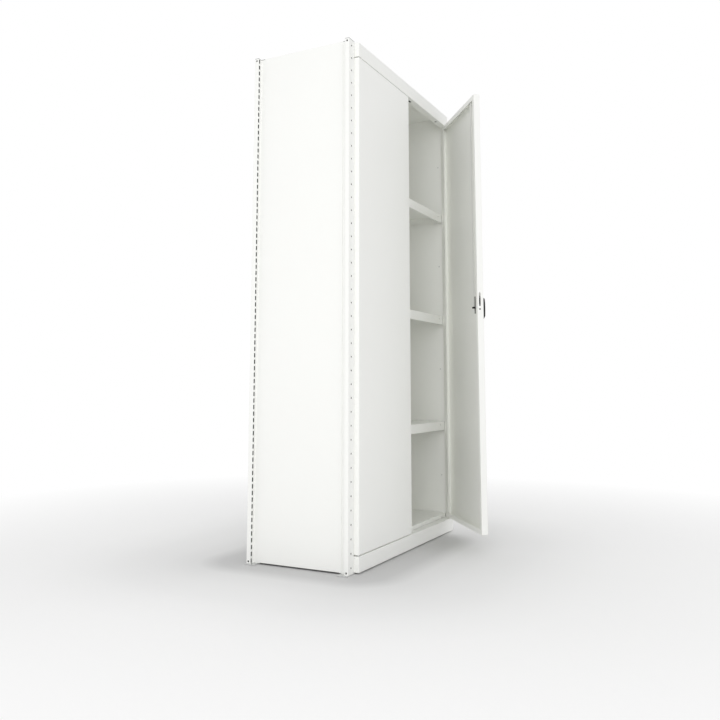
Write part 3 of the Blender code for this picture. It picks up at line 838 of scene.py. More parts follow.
@dataclass
class Posts:
    """Four T-section posts, each punched flat from one sheet and then folded."""

    sheet: float = 0.00145
    fold: float = 0.0016
    root: float = 0.0018
    bend_steps: int = 3
    stem_thick: float = 0.003
    cross_depth: float = 0.0175
    slot_pitch: float = 0.025
    slot_length: float = 0.0165
    slot_width: float = 0.0085
    slot_corner: float = 0.0009
    slot_inset: float = 0.0078
    hole_diameter: float = 0.0078
    hole_facets: int = 16
    end_hole_inset: float = 0.011
    station_play: float = 0.000000001

    def line(self) -> list[Run]:
        """Lay out the post's outer line.

        Returns:
            Its runs, from one stem edge round to the other.
        """
        low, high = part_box("post_front_left")
        width = high.x - low.x
        depth = high.y - low.y
        bend = Run(Stretch.BEND, self.fold * QUARTER, QUARTER)
        half = [Run(Stretch.STEM, depth - self.cross_depth - self.root),
                Run(Stretch.BEND, self.root * QUARTER, -QUARTER),
                Run(Stretch.FLANGE, width / 2 - self.stem_thick / 2 - self.root - self.fold),
                bend,
                Run(Stretch.RETURN, self.cross_depth - 2 * self.fold),
                bend]
        return half + [Run(Stretch.FACE, width - 2 * self.fold)] + half[::-1]

    def folded(self, shape: Shape) -> None:
        """Fold the flat blank into the post's section.

        Args:
            shape: the blank, whose X runs along the line.
        """
        low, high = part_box("post_front_left")
        x, y, heading = -self.stem_thick / 2, high.y - low.y, -QUARTER
        stations = []
        reach = 0.0
        for run in self.line():
            stations.append((reach, run, x, y, heading))
            x, y, heading = run.end(x, y, heading)
            reach += run.length
        for vert in shape.mesh.verts:
            passed = [station for station in stations if station[0] <= vert.co.x + self.station_play]
            start, run, x, y, heading = passed[-1]
            x, y, _ = run.end(x, y, heading, (vert.co.x - start) / run.length)
            vert.co = (x, y, vert.co.z)

    @staticmethod
    def lay_punched(shape: Shape, outline: Profile, ring: Profile) -> None:
        """Fill the sheet between an outline and a hole.

        Args:
            shape: the blank.
            outline, ring: both as (x, z) points on the blank.
        """
        edges = []
        for loop in (outline, ring):
            verts = [shape.mesh.verts.new((x, 0.0, z)) for x, z in loop]
            edges += [shape.mesh.edges.new(pair) for pair in zip(verts, verts[1:] + verts[:1])]
        bmesh.ops.triangle_fill(shape.mesh, use_beauty=True, use_dissolve=False, edges=edges)

    def slot_ring(self, x: float, z: float) -> list[tuple[float, float]]:
        """Outline a hook slot.

        Args:
            x, z: its middle on the blank.

        Returns:
            Its corners in order.
        """
        wide, tall, cut = self.slot_width / 2, self.slot_length / 2, self.slot_corner
        corner = [(wide, tall - cut), (wide - cut, tall)]
        points = []
        for sign_x, sign_z in ((1, 1), (-1, 1), (-1, -1), (1, -1)):
            part = corner if sign_x * sign_z > 0 else corner[::-1]
            points += [(x + sign_x * across, z + sign_z * up) for across, up in part]
        return points

    def hole_ring(self, x: float, z: float) -> list[tuple[float, float]]:
        """Outline a round hole.

        Args:
            x, z: its middle on the blank.

        Returns:
            Its points in order.
        """
        step = 2 * math.pi / self.hole_facets
        radius = self.hole_diameter / 2
        return [(x + radius * math.cos(step * index), z + radius * math.sin(step * index))
                for index in range(self.hole_facets)]

    def rows(self) -> list[float]:
        """Divide the blank's height.

        Returns:
            The heights between its rows, from foot to top.
        """
        low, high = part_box("post_front_left")
        count = round(high.z / self.slot_pitch)
        return [max(low.z, min(high.z, row * self.slot_pitch)) for row in range(count + 1)]

    def lay_face(self, shape: Shape, start: float, length: float) -> None:
        """Lay the front of the blank, with a round hole in each pair of rows.

        Args:
            shape: the blank.
            start: where the front starts along the line.
            length: its length.
        """
        rows = self.rows()
        end = start + length
        for row in range(0, len(rows) - 1, 2):
            below, between, above = rows[row:row + 3]
            outline = [(start, below), (end, below), (end, between), (end, above), (start, above),
                       (start, between)]
            hole = self.hole_ring(start + length / 2, self.slot_pitch * (row + 1))
            self.lay_punched(shape, outline, hole)

    def lay_plain(self, shape: Shape, outline: Profile, steps: int) -> None:
        """Lay one row of a run that has no opening.

        Args:
            shape: the blank.
            outline: the row's corners, the first two along its foot.
            steps: how many strips it has, so that it can bend.
        """
        (start, below), (end, _), (_, above), _ = outline
        for step in range(steps):
            left = start + (end - start) * step / steps
            right = start + (end - start) * (step + 1) / steps
            corners = ((left, below), (right, below), (right, above), (left, above))
            shape.mesh.faces.new([shape.mesh.verts.new((x, 0.0, z)) for x, z in corners])

    def lay(self, shape: Shape, run: Run, start: float) -> None:
        """Lay one run of the blank, with its slots or holes.

        Args:
            shape: the blank.
            run: the run.
            start: where it starts along the line.
        """
        if run.kind is Stretch.FACE:
            self.lay_face(shape, start, run.length)
            return
        rows = self.rows()
        top = len(rows) - 2
        end = start + run.length
        past_middle = start > sum(each.length for each in self.line()) / 2
        inset = self.slot_inset - self.fold
        slot_x = start + inset if past_middle else end - inset
        for row, (below, above) in enumerate(zip(rows, rows[1:])):
            outline = [(start, below), (end, below), (end, above), (start, above)]
            if run.kind is Stretch.FLANGE:
                self.lay_punched(shape, outline, self.slot_ring(slot_x, self.slot_pitch * (row + 0.5)))
            elif run.kind is Stretch.RETURN and row in (0, top):
                height = self.end_hole_inset if row == 0 else BAY_HEIGHT - self.end_hole_inset
                self.lay_punched(shape, outline, self.hole_ring(start + run.length / 2, height))
            else:
                self.lay_plain(shape, outline, self.bend_steps if run.kind is Stretch.BEND else 1)

    def build(self) -> None:
        """Punch and fold the post once, and stand a copy on each corner."""
        blank = Shape()
        reach = 0.0
        for run in self.line():
            self.lay(blank, run, reach)
            reach += run.length
        bmesh.ops.remove_doubles(blank.mesh, verts=blank.mesh.verts, dist=BLANK_SEAM)
        bmesh.ops.recalc_face_normals(blank.mesh, faces=blank.mesh.faces)
        self.folded(blank)
        blank.mesh.normal_update()
        front = min(blank.mesh.faces, key=lambda face: face.calc_center_median().y)
        if front.normal.y > 0:
            bmesh.ops.reverse_faces(blank.mesh, faces=blank.mesh.faces)
        # The inner skin is lined with near-black steel: painted shade inside the hollow post
        mesh = solid(blank, self.sheet, lined=True)
        for corner in Corner:
            add_piece("punched_post_" + corner.label, mesh.copy(), WHITE, Body.CARCASS,
                      ("post_" + corner.label,), corner.place(), DARK_STEEL_AND_PAINTED_SHADE)
        bpy.data.meshes.remove(mesh)


@dataclass
class Feet:
    """The foot plates and the caps of the posts."""

    plate_edge: float = 0.0005
    cap_edge: float = 0.0006

    def build(self) -> None:
        """Round off the plates and the caps."""
        for corner in Corner:
            plate_node = "foot_plate_" + corner.label
            plate = node_copy(plate_node)
            plate.rounded(self.plate_edge, EDGE_STEPS, plate.folds(LONG_EDGE))
            add_piece("floor_plate_" + corner.label, plate.to_mesh("plate"), ZINC, Body.CARCASS,
                      (plate_node,))
            cap_node = "post_cap_" + corner.label
            cap = node_copy(cap_node).rounded(self.cap_edge)
            add_piece("end_cap_" + corner.label, cap.to_mesh("cap"), GREY, Body.CARCASS, (cap_node,))


@dataclass
class Tray:
    """A sheet folded to a tray: one face, four walls and a lip round the open side."""

    low: Vector
    high: Vector
    lip: float
    sheet: float
    fold: float
    opens: float = 1.0
    hinge_side: float = 0.0
    hinge_lip: float = 0.0

    def skin(self) -> Shape:
        """Fold the tray's outer skin.

        Returns:
            The skin, with its folds rounded and its faces outwards.
        """
        shape = Shape().block(self.low, self.high)
        mouth = next(face for face in shape.mesh.faces if face.normal.y * self.opens > ALONG)
        bmesh.ops.delete(shape.mesh, geom=[mouth], context="FACES_ONLY")
        rim = [edge for edge in shape.mesh.edges if len(edge.link_faces) == 1]
        grown = bmesh.ops.extrude_edge_only(shape.mesh, edges=rim)["geom"]
        middle = (self.low + self.high) / 2
        for vert in (part for part in grown if isinstance(part, bmesh.types.BMVert)):
            from_middle = vert.co.x - middle.x
            lip = self.hinge_lip if from_middle * self.hinge_side > 0 else self.lip
            vert.co.x -= math.copysign(lip, from_middle)
            vert.co.z += math.copysign(self.lip, middle.z - vert.co.z)
        bmesh.ops.recalc_face_normals(shape.mesh, faces=shape.mesh.faces)
        shape.rounded(self.fold)
        return shape.facing((0.0, -self.opens, 0.0))

    def mesh(self, cutters: Sequence[Shape] = (), lined: bool = False) -> bpy.types.Mesh:
        """Return the tray as a sheet of its thickness, with openings cut."""
        return solid(self.skin(), self.sheet, cutters, lined)


@dataclass
class Cladding:
    """The hemmed side panels and the folded back panel."""

    sheet: float = 0.00075
    hem: float = 0.0105
    hem_steps: int = 6
    back_sheet: float = 0.001
    back_lip: float = 0.014
    back_fold: float = 0.0014

    def side_panel(self, side: Side) -> None:
        """Fold a side panel whose long edges are turned back flat.

        Args:
            side: the panel's side; the right panel is the left one mirrored.
        """
        low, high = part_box("side_panel_" + side.label)
        bulge = (high.x - low.x) / 2
        middle = (low.x + high.x) / 2
        turns = [math.pi / self.hem_steps * index for index in range(self.hem_steps + 1)]
        points = [(high.x, low.y + self.hem)]
        for sign, y in ((1, low.y + bulge), (-1, high.y - bulge)):
            arc = [(middle + bulge * math.cos(turn), y - sign * bulge * math.sin(turn)) for turn in turns]
            points += arc if sign > 0 else arc[::-1]
        points.append((high.x, high.y - self.hem))
        shape = Shape()
        verts = [shape.mesh.verts.new((x, y, low.z)) for x, y in points]
        edges = [shape.mesh.edges.new(pair) for pair in zip(verts, verts[1:])]
        grown = bmesh.ops.extrude_edge_only(shape.mesh, edges=edges)["geom"]
        raised = [part for part in grown if isinstance(part, bmesh.types.BMVert)]
        bmesh.ops.translate(shape.mesh, verts=raised, vec=(0.0, 0.0, high.z - low.z))
        shape.facing((-1.0, 0.0, 0.0))
        mesh = solid(shape, self.sheet)
        if side is Side.RIGHT:
            mirror = Matrix.Diagonal((-1.0, 1.0, 1.0, 1.0))
            mesh.transform(mirror @ Matrix.Translation((-low.x - high.x, 0.0, 0.0)))
            mesh.flip_normals()
        add_piece("clad_side_" + side.label, mesh, WHITE, Body.CARCASS, ("side_panel_" + side.label,))

    def build(self) -> None:
        """Build the panels."""
        for side in Side:
            self.side_panel(side)
        tray = Tray(*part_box("back_panel"), self.back_lip, self.back_sheet, self.back_fold, -1.0)
        add_piece("clad_back", tray.mesh(), WHITE, Body.CARCASS, ("back_panel",))


@dataclass
class Rails:
    """The top rail and the plinth, trays with an end tab screwed to each post."""

    sheet: float = 0.001
    lip: float = 0.018
    fold: float = 0.0016
    proud: float = 0.0194
    depth: float = 0.0337
    tab_height: float = 0.010
    tab_from_end: float = 0.011
    tab_edge: float = 0.0003
    hole_radius: float = 0.0066
    hole_from_middle: float = 0.365
    hole_from_front: float = 0.0165
    bar_from_meeting: float = 0.060
    bar_half: Point = (0.0120, 0.0048)
    bar_from_front: float = 0.0214

    def tray_box(self, node: str) -> tuple[Vector, Vector]:
        """Find the tray's own box, without the end tabs.

        Args:
            node: the rail's node.

        Returns:
            Its lowest and highest corner.
        """
        low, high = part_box(node)
        door_low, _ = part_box("door_left")
        low.x, high.x = door_low.x, -door_low.x
        high.y = low.y + self.depth
        return low, high

    def tabs(self, node: str, height: float) -> Shape:
        """Make the two end tabs of a rail.

        Args:
            node: the rail's node.
            height: the middle of the tabs.

        Returns:
            The tabs, which end inside the tray's wall.
        """
        low, high = self.tray_box(node)
        full_low, full_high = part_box(node)
        shape = Shape()
        inside = self.sheet / 2
        for start, end in ((full_low.x, low.x + inside), (high.x - inside, full_high.x)):
            shape.block((start, low.y + self.proud, height - self.tab_height / 2),
                        (end, full_high.y - inside, height + self.tab_height / 2))
        return shape.rounded(self.tab_edge, 1)

    def openings(self, low: Vector) -> Shape:
        """Make the cutter for the openings in the top rail's flange.

        Args:
            low: the rail's lowest corner.

        Returns:
            The round holes and the slots that take the lock bar.
        """
        cutter = Shape()
        for x in (-self.hole_from_middle, self.hole_from_middle):
            cutter.rod(self.hole_radius, (x, low.y + self.hole_from_front, low.z - self.sheet),
                       (x, low.y + self.hole_from_front, low.z + 2 * self.sheet))
        for x in (-self.bar_from_meeting, self.bar_from_meeting):
            place = Vector((x, low.y + self.bar_from_front, low.z))
            reach = Vector((*self.bar_half, 2 * self.sheet))
            cutter.block(place - reach, place + reach)
        return cutter

    def build(self) -> None:
        """Build both rails."""
        for node, tab_middle in (("top_rail", BAY_HEIGHT - self.tab_from_end), ("plinth", self.tab_from_end)):
            low, high = self.tray_box(node)
            cutters = [self.openings(low)] if node == "top_rail" else []
            tray = Tray(low, high, self.lip, self.sheet, self.fold)
            # The inner skin is lined with near-black steel: painted shade inside the rail's tray
            shape = Shape().took(tray.mesh(cutters, lined=True)).joined(self.tabs(node, tab_middle))
            add_piece("folded_" + node, with_two_coats(shape.to_mesh(node)), WHITE, Body.CARCASS, (node,),
                      lining=DARK_STEEL_AND_PAINTED_SHADE)


@dataclass
class Shelves:
    """Five shelves folded from one sheet each, with returns under the long lips."""

    sheet: float = 0.001
    fold: float = 0.0016
    lip: float = 0.040
    turned_in: float = 0.010
    end_lip: float = 0.030
    notch: float = 0.0175
    hole_radius: float = 0.0046
    hole_from_end: float = 0.0615
    hole_below_top: float = 0.015

    def skin(self, low: Vector, high: Vector) -> Shape:
        """Fold the shelf's outer skin.

        Args:
            low, high: the shelf's lowest and highest corner.

        Returns:
            The skin, with its folds rounded and its faces outwards.
        """
        shape = Shape()
        xs = (low.x, low.x + self.notch, high.x - self.notch, high.x)
        outline = [(x, low.y) for x in xs] + [(x, high.y) for x in reversed(xs)]
        verts = [shape.mesh.verts.new((x, y, high.z)) for x, y in outline]
        shape.mesh.faces.new(verts)
        front, back = (verts[1], verts[2], 1.0), (verts[5], verts[6], -1.0)
        for first, second, inward in (front, back):
            lip = self.pulled(shape, shape.mesh.edges.get((first, second)), (0.0, 0.0, -self.lip))
            self.pulled(shape, lip, (0.0, inward * self.turned_in, 0.0))
        for ends in ((verts[3], verts[4]), (verts[7], verts[0])):
            self.pulled(shape, shape.mesh.edges.get(ends), (0.0, 0.0, -self.end_lip))
        bmesh.ops.recalc_face_normals(shape.mesh, faces=shape.mesh.faces)
        shape.rounded(self.fold)
        return shape.facing(UP)

    @staticmethod
    def pulled(shape: Shape, edge: bmesh.types.BMEdge, way: Point) -> bmesh.types.BMEdge:
        """Extend the sheet from an edge.

        Args:
            shape: the sheet.
            edge: the edge.
            way: how far the new edge lies from it.

        Returns:
            The new outer edge.
        """
        grown = bmesh.ops.extrude_edge_only(shape.mesh, edges=[edge])["geom"]
        verts = [part for part in grown if isinstance(part, bmesh.types.BMVert)]
        bmesh.ops.translate(shape.mesh, verts=verts, vec=way)
        return next(part for part in grown if isinstance(part, bmesh.types.BMEdge)
                    and all(vert in verts for vert in part.verts))

    def build(self) -> None:
        """Build the shelves."""
        for level in Level:
            node = "shelf_" + level.value
            low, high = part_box(node)
            height = high.z - self.hole_below_top
            past = 3 * self.sheet
            cutter = Shape()
            for x in (low.x + self.hole_from_end, high.x - self.hole_from_end):
                for y in (low.y, high.y):
                    cutter.rod(self.hole_radius, (x, y - past, height), (x, y + past, height))
            mesh = solid(self.skin(low, high), self.sheet, [cutter])
            add_piece("folded_" + node, mesh, WHITE, Body.CARCASS, (node,))


@dataclass
class Clips:
    """The hooks that carry the shelves."""

    edge: float = 0.0004

    def build(self) -> None:
        """Round off each pressed clip."""
        for level in Level:
            for corner in Corner:
                node = f"clip_{level.value}_{corner.label}"
                clip = node_copy(node).rounded(self.edge, EDGE_STEPS)
                add_piece("pressed_" + node, clip.to_mesh("clip"), ZINC, Body.CARCASS, (node,))


@dataclass
class Doors:
    """The two folded doors with the openings of their hinges and lock."""

    sheet: float = 0.001
    fold: float = 0.0018
    lip: float = 0.021
    hinge_lip: float = 0.042
    bush_radius: float = 0.0048
    slot_width: float = 0.007
    slot_height: float = 0.059
    slot_round_share: float = 0.49
    slot_steps: int = 4
    slot_behind_front: float = 0.0164
    slot_middle: float = 1.0325
    spindle_height: float = 1.0
    spindle_from_edge: float = 0.040
    spindle_radius: float = 0.0044
    screw_height: float = 0.991
    screw_radius: float = 0.00225
    bar_from_edge: float = 0.055
    bar_behind_front: float = 0.0214
    bar_half: Point = (0.0064, 0.0019)

    def edge_slot(self, middle: Vector, past: float) -> Shape:
        """Make the cutter for the round-ended slot in a meeting edge.

        Args:
            middle: the slot's middle on the edge.
            past: how far the cutter reaches to either side of the edge.

        Returns:
            The cutter.
        """
        reach = Vector((past, self.slot_width / 2, self.slot_height / 2))
        shape = Shape().block(middle - reach, middle + reach)
        ends = [edge for edge in shape.mesh.edges
                if abs((edge.verts[0].co - edge.verts[1].co).normalized().x) > ALONG]
        return shape.rounded(self.slot_width * self.slot_round_share, self.slot_steps, ends)

    def openings(self, side: Side, low: Vector, high: Vector) -> Shape:
        """Make the cutter for a door's openings.

        Args:
            side: the door's side.
            low, high: the door's lowest and highest corner, in the frame of its hinge.

        Returns:
            The cutter, in the same frame.
        """
        cutter = Shape()
        past = 3 * self.sheet
        for level in (low.z, high.z):
            cutter.rod(self.bush_radius, (0.0, 0.0, level - past), (0.0, 0.0, level + past))
        edge = low.x if side is Side.RIGHT else high.x
        slot_depth = low.y + self.slot_behind_front
        cutter.joined(self.edge_slot(Vector((edge, slot_depth, self.slot_middle)), past))
        if side is Side.RIGHT:
            across = Vector((past, 0.0, 0.0))
            through = Vector((0.0, past, 0.0))
            spindle = Vector((edge + self.spindle_from_edge, low.y, self.spindle_height))
            cutter.rod(self.spindle_radius, spindle - through, spindle + through)
            screw = Vector((edge, slot_depth, self.screw_height))
            cutter.rod(self.screw_radius, screw - across, screw + across)
            bar = Vector((edge + self.bar_from_edge, low.y + self.bar_behind_front, high.z))
            reach = Vector((*self.bar_half, past))
            cutter.block(bar - reach, bar + reach)
        return cutter

    def build(self) -> None:
        """Build both doors."""
        for side in Side:
            node = "door_" + side.label
            place = door_frame(side)
            low, high = local_box(node, place)
            tray = Tray(low, high, self.lip, self.sheet, self.fold, hinge_side=side.outward,
                        hinge_lip=self.hinge_lip)
            mesh = tray.mesh([self.openings(side, low, high)])
            add_piece("folded_" + node, mesh, WHITE, side.door, (node,), place)


@dataclass
class Hinges:
    """The hinge pins in the rail and plinth and their bushes in the doors."""

    facets: int = 32
    edge: float = 0.0004
    head_radius: float = 0.005
    head_thick: float = 0.002
    shank_radius: float = 0.003
    shank_tip: float = 0.0008
    bore_radius: float = 0.0033
    collar_radius: float = 0.0065
    collar_thick: float = 0.0034
    barrel_radius: float = 0.0045

    def build(self) -> None:
        """Turn the pins and the bushes."""
        for side in Side:
            for end, into in (("bottom", 1.0), ("top", -1.0)):
                self.pin(f"{side.label}_{end}", into)
                self.bush(f"{side.label}_{end}", into, side.door)

    @staticmethod
    def frame_of(node: str, into: float) -> tuple[Matrix, float]:
        """Find where a turned node starts.

        Args:
            node: the node's name.
            into: the way along Z from its outer end into the door.

        Returns:
            The frame at its outer end, and its length.
        """
        low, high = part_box(node)
        start = low.z if into > 0 else high.z
        place = Matrix.Translation(((low.x + high.x) / 2, (low.y + high.y) / 2, start))
        if into < 0:
            place = place @ Matrix.Rotation(math.pi, 4, "X")
        return place, high.z - low.z

    def pin(self, name: str, into: float) -> None:
        """Turn a headed pin with a chamfered tip.

        Args:
            name: the pin's place.
            into: the way along Z into the door.
        """
        node = "hinge_pin_" + name
        place, length = self.frame_of(node, into)
        profile = [(0.0, 0.0), (self.head_radius - self.edge, 0.0), (self.head_radius, self.edge),
                   (self.head_radius, self.head_thick), (self.shank_radius, self.head_thick),
                   (self.shank_radius, length - self.shank_tip), (self.shank_radius - self.shank_tip, length),
                   (0.0, length)]
        shape = Shape().spun(profile, place, self.facets)
        add_piece("turned_pin_" + name, shape.to_mesh("pin"), BRIGHT, Body.CARCASS, (node,))

    def bush(self, name: str, into: float, body: Body) -> None:
        """Turn a collared bush.

        Args:
            name: the bush's place.
            into: the way along Z into the door.
            body: the door that it rides on.
        """
        node = "hinge_bush_" + name
        place, length = self.frame_of(node, into)
        profile = [(self.bore_radius, 0.0), (self.collar_radius - self.edge, 0.0),
                   (self.collar_radius, self.edge), (self.collar_radius, self.collar_thick),
                   (self.barrel_radius, self.collar_thick), (self.barrel_radius, length),
                   (self.bore_radius, length)]
        shape = Shape().spun(profile, place, self.facets, closed=True)
        add_piece("collared_bush_" + name, shape.to_mesh("bush"), GREY, body, (node,))


@dataclass
class Handle:
    """The wing handle with its rose, spindle and key plug.

    A station of the grip is (share of its length, share of its widening, share of its rise), and a point of
    its section is (share of its half width, share of its rise).
    """

    length: float = 0.110
    proud: float = 0.0175
    hub: float = 0.024
    tip: float = 0.013
    base_gap: float = 0.0021
    grip_edge: float = 0.0011
    station_shares: tuple[tuple[float, float, float], ...] = (
        (-0.55, 0.0, 0.20), (-0.51, 0.25, 0.36), (-0.32, 0.60, 1.0), (-0.12, 1.0, 1.0), (0.12, 1.0, 1.0),
        (0.25, 0.62, 1.0), (0.35, 0.45, 0.94), (0.43, 0.2, 0.34), (0.45, 0.0, 0.22))
    section_shares: tuple[tuple[float, float], ...] = (
        (-1.0, 0.0), (0.0, 0.0), (1.0, 0.0), (1.0, 0.55), (0.72, 1.0), (0.0, 1.0), (-0.72, 1.0), (-1.0, 0.55))
    play: float = 0.0003
    cut_past: float = 0.002
    plug_radius: float = 0.0065
    plug_depth: float = 0.009
    plug_edge: float = 0.0005
    plug_facets: int = 40
    keyway: Point = (0.001, 0.004, 0.004)
    rose_radius: float = 0.015
    rose_thick: float = 0.0015
    rose_edge: tuple[float, float] = (0.0009, 0.0006)
    rose_facets: int = 48
    spindle_radius: float = 0.004
    spindle_edge: float = 0.0006
    spindle_facets: int = 32

    def carrier(self) -> Matrix:
        """Find the handle's frame.

        Returns:
            The frame on its axis, with Y into the door and Z up.
        """
        place = Matrix.Translation(joint("handle_turn")["pos_m"])
        return place @ door_frame(Side.RIGHT).to_3x3().to_4x4()

    def ring(self, shape: Shape, station: tuple[float, float, float]) -> list[bmesh.types.BMEdge]:
        """Draw one section of the grip.

        Args:
            shape: the grip.
            station: where it is and how wide and high.

        Returns:
            The section's edges in order.
        """
        share, width_share, rise_share = station
        half = (self.tip + width_share * (self.hub - self.tip)) / 2
        rise = self.proud * rise_share
        verts = [shape.mesh.verts.new((half * across, -rise * out, share * self.length))
                 for across, out in self.section_shares]
        return [shape.mesh.edges.new(pair) for pair in zip(verts, verts[1:] + verts[:1])]

    def grip(self) -> Shape:
        """Loft the grip through its sections.

        Returns:
            The grip.
        """
        shape = Shape()
        rings = [self.ring(shape, station) for station in self.station_shares]
        for lower, upper in zip(rings, rings[1:]):
            bmesh.ops.bridge_loops(shape.mesh, edges=lower + upper)
        bmesh.ops.edgeloop_fill(shape.mesh, edges=rings[0] + rings[-1])
        bmesh.ops.recalc_face_normals(shape.mesh, faces=shape.mesh.faces)
        shape.rounded(self.grip_edge)
        return shape.moved(Matrix.Translation((0.0, -self.base_gap, 0.0)))

    def turned(self, profile: Profile, depth: float, facets: int, closed: bool = False) -> Shape:
        """Return a piece turned about the handle's axis, with its height outwards from a depth."""
        place = Matrix.Translation((0.0, depth, 0.0)) @ Matrix.Rotation(QUARTER, 4, "X")
        return Shape().spun(profile, place, facets, closed)

    def plug(self, foot: float) -> Shape:
        """Turn the key plug.

        Args:
            foot: the depth of its inner end.

        Returns:
            The plug, without its keyway.
        """
        profile = [(0.0, 0.0), (self.plug_radius, 0.0), (self.plug_radius, self.plug_depth - self.plug_edge),
                   (self.plug_radius - self.plug_edge, self.plug_depth), (0.0, self.plug_depth)]
        return self.turned(profile, foot, self.plug_facets)

    def rose(self) -> Shape:
        """Turn the rose, a ring under the grip.

        Returns:
            The rose.
        """
        edge_width, edge_height = self.rose_edge
        bore = self.spindle_radius + self.play
        profile = [(bore, 0.0), (self.rose_radius, 0.0), (self.rose_radius, self.rose_thick - edge_height),
                   (self.rose_radius - edge_width, self.rose_thick), (bore, self.rose_thick)]
        return self.turned(profile, -self.play, self.rose_facets, closed=True)

    def spindle(self, low: float, high: float) -> Shape:
        """Turn the spindle.

        Args:
            low, high: its depths at the grip and inside the door.

        Returns:
            The spindle.
        """
        edge = self.spindle_edge
        reach = high - low
        profile = [(0.0, 0.0), (self.spindle_radius - edge, 0.0), (self.spindle_radius, edge),
                   (self.spindle_radius, reach), (0.0, reach)]
        return self.turned(profile, high, self.spindle_facets)

    def build(self) -> None:
        """Build the handle and what turns with it."""
        place = self.carrier()
        face = -self.base_gap - self.proud
        foot = face + self.plug_depth
        seat = Shape().rod(self.plug_radius + self.play, (0.0, face - self.cut_past, 0.0),
                           (0.0, foot + self.play, 0.0), self.spindle_facets)
        add_piece("wing_handle", solid(self.grip(), cutters=[seat]), BLACK, Body.HANDLE,
                  ("door_handle",), place)
        reach = Vector(self.keyway)
        middle = Vector((0.0, face, 0.0))
        keyway = Shape().block(middle - reach, middle + reach)
        add_piece("key_plug", solid(self.plug(foot), cutters=[keyway]), BRIGHT, Body.KEY_CYLINDER,
                  ("lock_plug",), place)
        add_piece("round_rose", self.rose().to_mesh("rose"), BLACK, Body.RIGHT_DOOR, ("handle_rose",), place)
        low, high = local_box("handle_spindle", place)
        add_piece("spindle_bar", self.spindle(low.y, high.y).to_mesh("spindle"), BLACK, Body.HANDLE,
                  ("handle_spindle",), place)


@dataclass(frozen=True)
class Rivet:
    """A rivet's low domed head."""

    radius: float
    height: float
    foot: float = 0.0
    radius_share: float = 0.6
    height_share: float = 0.85
    facets: int = 16

    def set_at(self, shape: Shape, place: Matrix) -> None:
        """Add a head to a shape.

        Args:
            shape: the shape.
            place: frame on the face that carries the rivet, with Z outwards.
        """
        profile = [(0.0, self.height), (self.radius * self.radius_share, self.height * self.height_share),
                   (self.radius, self.foot), (0.0, self.foot)]
        shape.spun(profile, place, self.facets)


@dataclass
class Lock:
    """The lock case, latch bolt, lock bar and its guide."""

    case_edge: float = 0.0008
    small_edge: float = 0.0004
    rivet_radius: float = 0.0022
    rivet_height: float = 0.0008
    rivet_inset: float = 0.006

    def build(self) -> None:
        """Round off the lock's parts and set the rivets of its case."""
        for node, name, finish, body, edge in (
                ("lock_case", "latch_case", DULL, Body.RIGHT_DOOR, self.case_edge),
                # The latch bolt takes the black finish as painted shade, so that its edge slot reads as a
                # dark empty opening
                ("latch_bolt", "sprung_bolt", BLACK, Body.BOLT, self.small_edge),
                ("lock_bar", "flat_bar", SATIN, Body.BAR, self.small_edge),
                ("lock_bar_guide", "bar_guide", GREY, Body.RIGHT_DOOR, self.small_edge)):
            shape = node_copy(node)
            shape.rounded(edge, EDGE_STEPS, shape.folds(LONG_EDGE))
            add_piece(name, shape.to_mesh(name), finish, body, (node,))
        self.rivets()

    def rivets(self) -> None:
        """Set four rivet heads in the back of the case."""
        place = door_frame(Side.RIGHT)
        low, high = local_box("lock_case", place)
        rivet = Rivet(self.rivet_radius, self.rivet_height)
        shape = Shape()
        for x in (low.x + self.rivet_inset, high.x - self.rivet_inset):
            for z in (low.z + self.rivet_inset, high.z - self.rivet_inset):
                rivet.set_at(shape, Matrix.Translation((x, high.y, z)) @ Matrix.Rotation(-QUARTER, 4, "X"))
        add_piece("case_rivets", shape.to_mesh("rivets"), BRIGHT, Body.RIGHT_DOOR, (), place)


@dataclass(frozen=True)
class Screw:
    """A pan-head screw with a cross recess.

    A point of its head is (share of the head's radius, share of its height).
    """

    head_radius: float = 0.0042
    head_height: float = 0.0026
    shank_radius: float = 0.0021
    shank_length: float = 0.007
    recess_reach: float = 0.0024
    recess_width: float = 0.0009
    recess_depth: float = 0.0013
    facets: int = 24
    head_shares: tuple[tuple[float, float], ...] = (
        (0.0, 1.0), (0.45, 0.97), (0.75, 0.80), (0.95, 0.48), (1.0, 0.15), (0.97, 0.0))

    def blank(self) -> bpy.types.Mesh:
        """Make one screw.

        Returns:
            The screw on the origin, with its head up the Z axis from zero.
        """
        head = [(self.head_radius * across, self.head_height * up) for across, up in self.head_shares]
        shank = [(self.shank_radius, 0.0), (self.shank_radius, -self.shank_length + self.shank_radius / 2),
                 (self.shank_radius / 2, -self.shank_length), (0.0, -self.shank_length)]
        foot = self.head_height - self.recess_depth
        past = self.head_height + foot
        reach, half = self.recess_reach, self.recess_width / 2
        recess = [Shape().block((-reach, -half, foot), (reach, half, past)),
                  Shape().block((-half, -reach, foot), (half, reach, past))]
        return solid(Shape().spun(head + shank, HERE, self.facets), cutters=recess)

    def at(self, places: Iterable[Matrix]) -> bpy.types.Mesh:
        """Return screws at each of the places as one mesh."""
        return Shape().took(self.blank()).copied(places).to_mesh("screws")


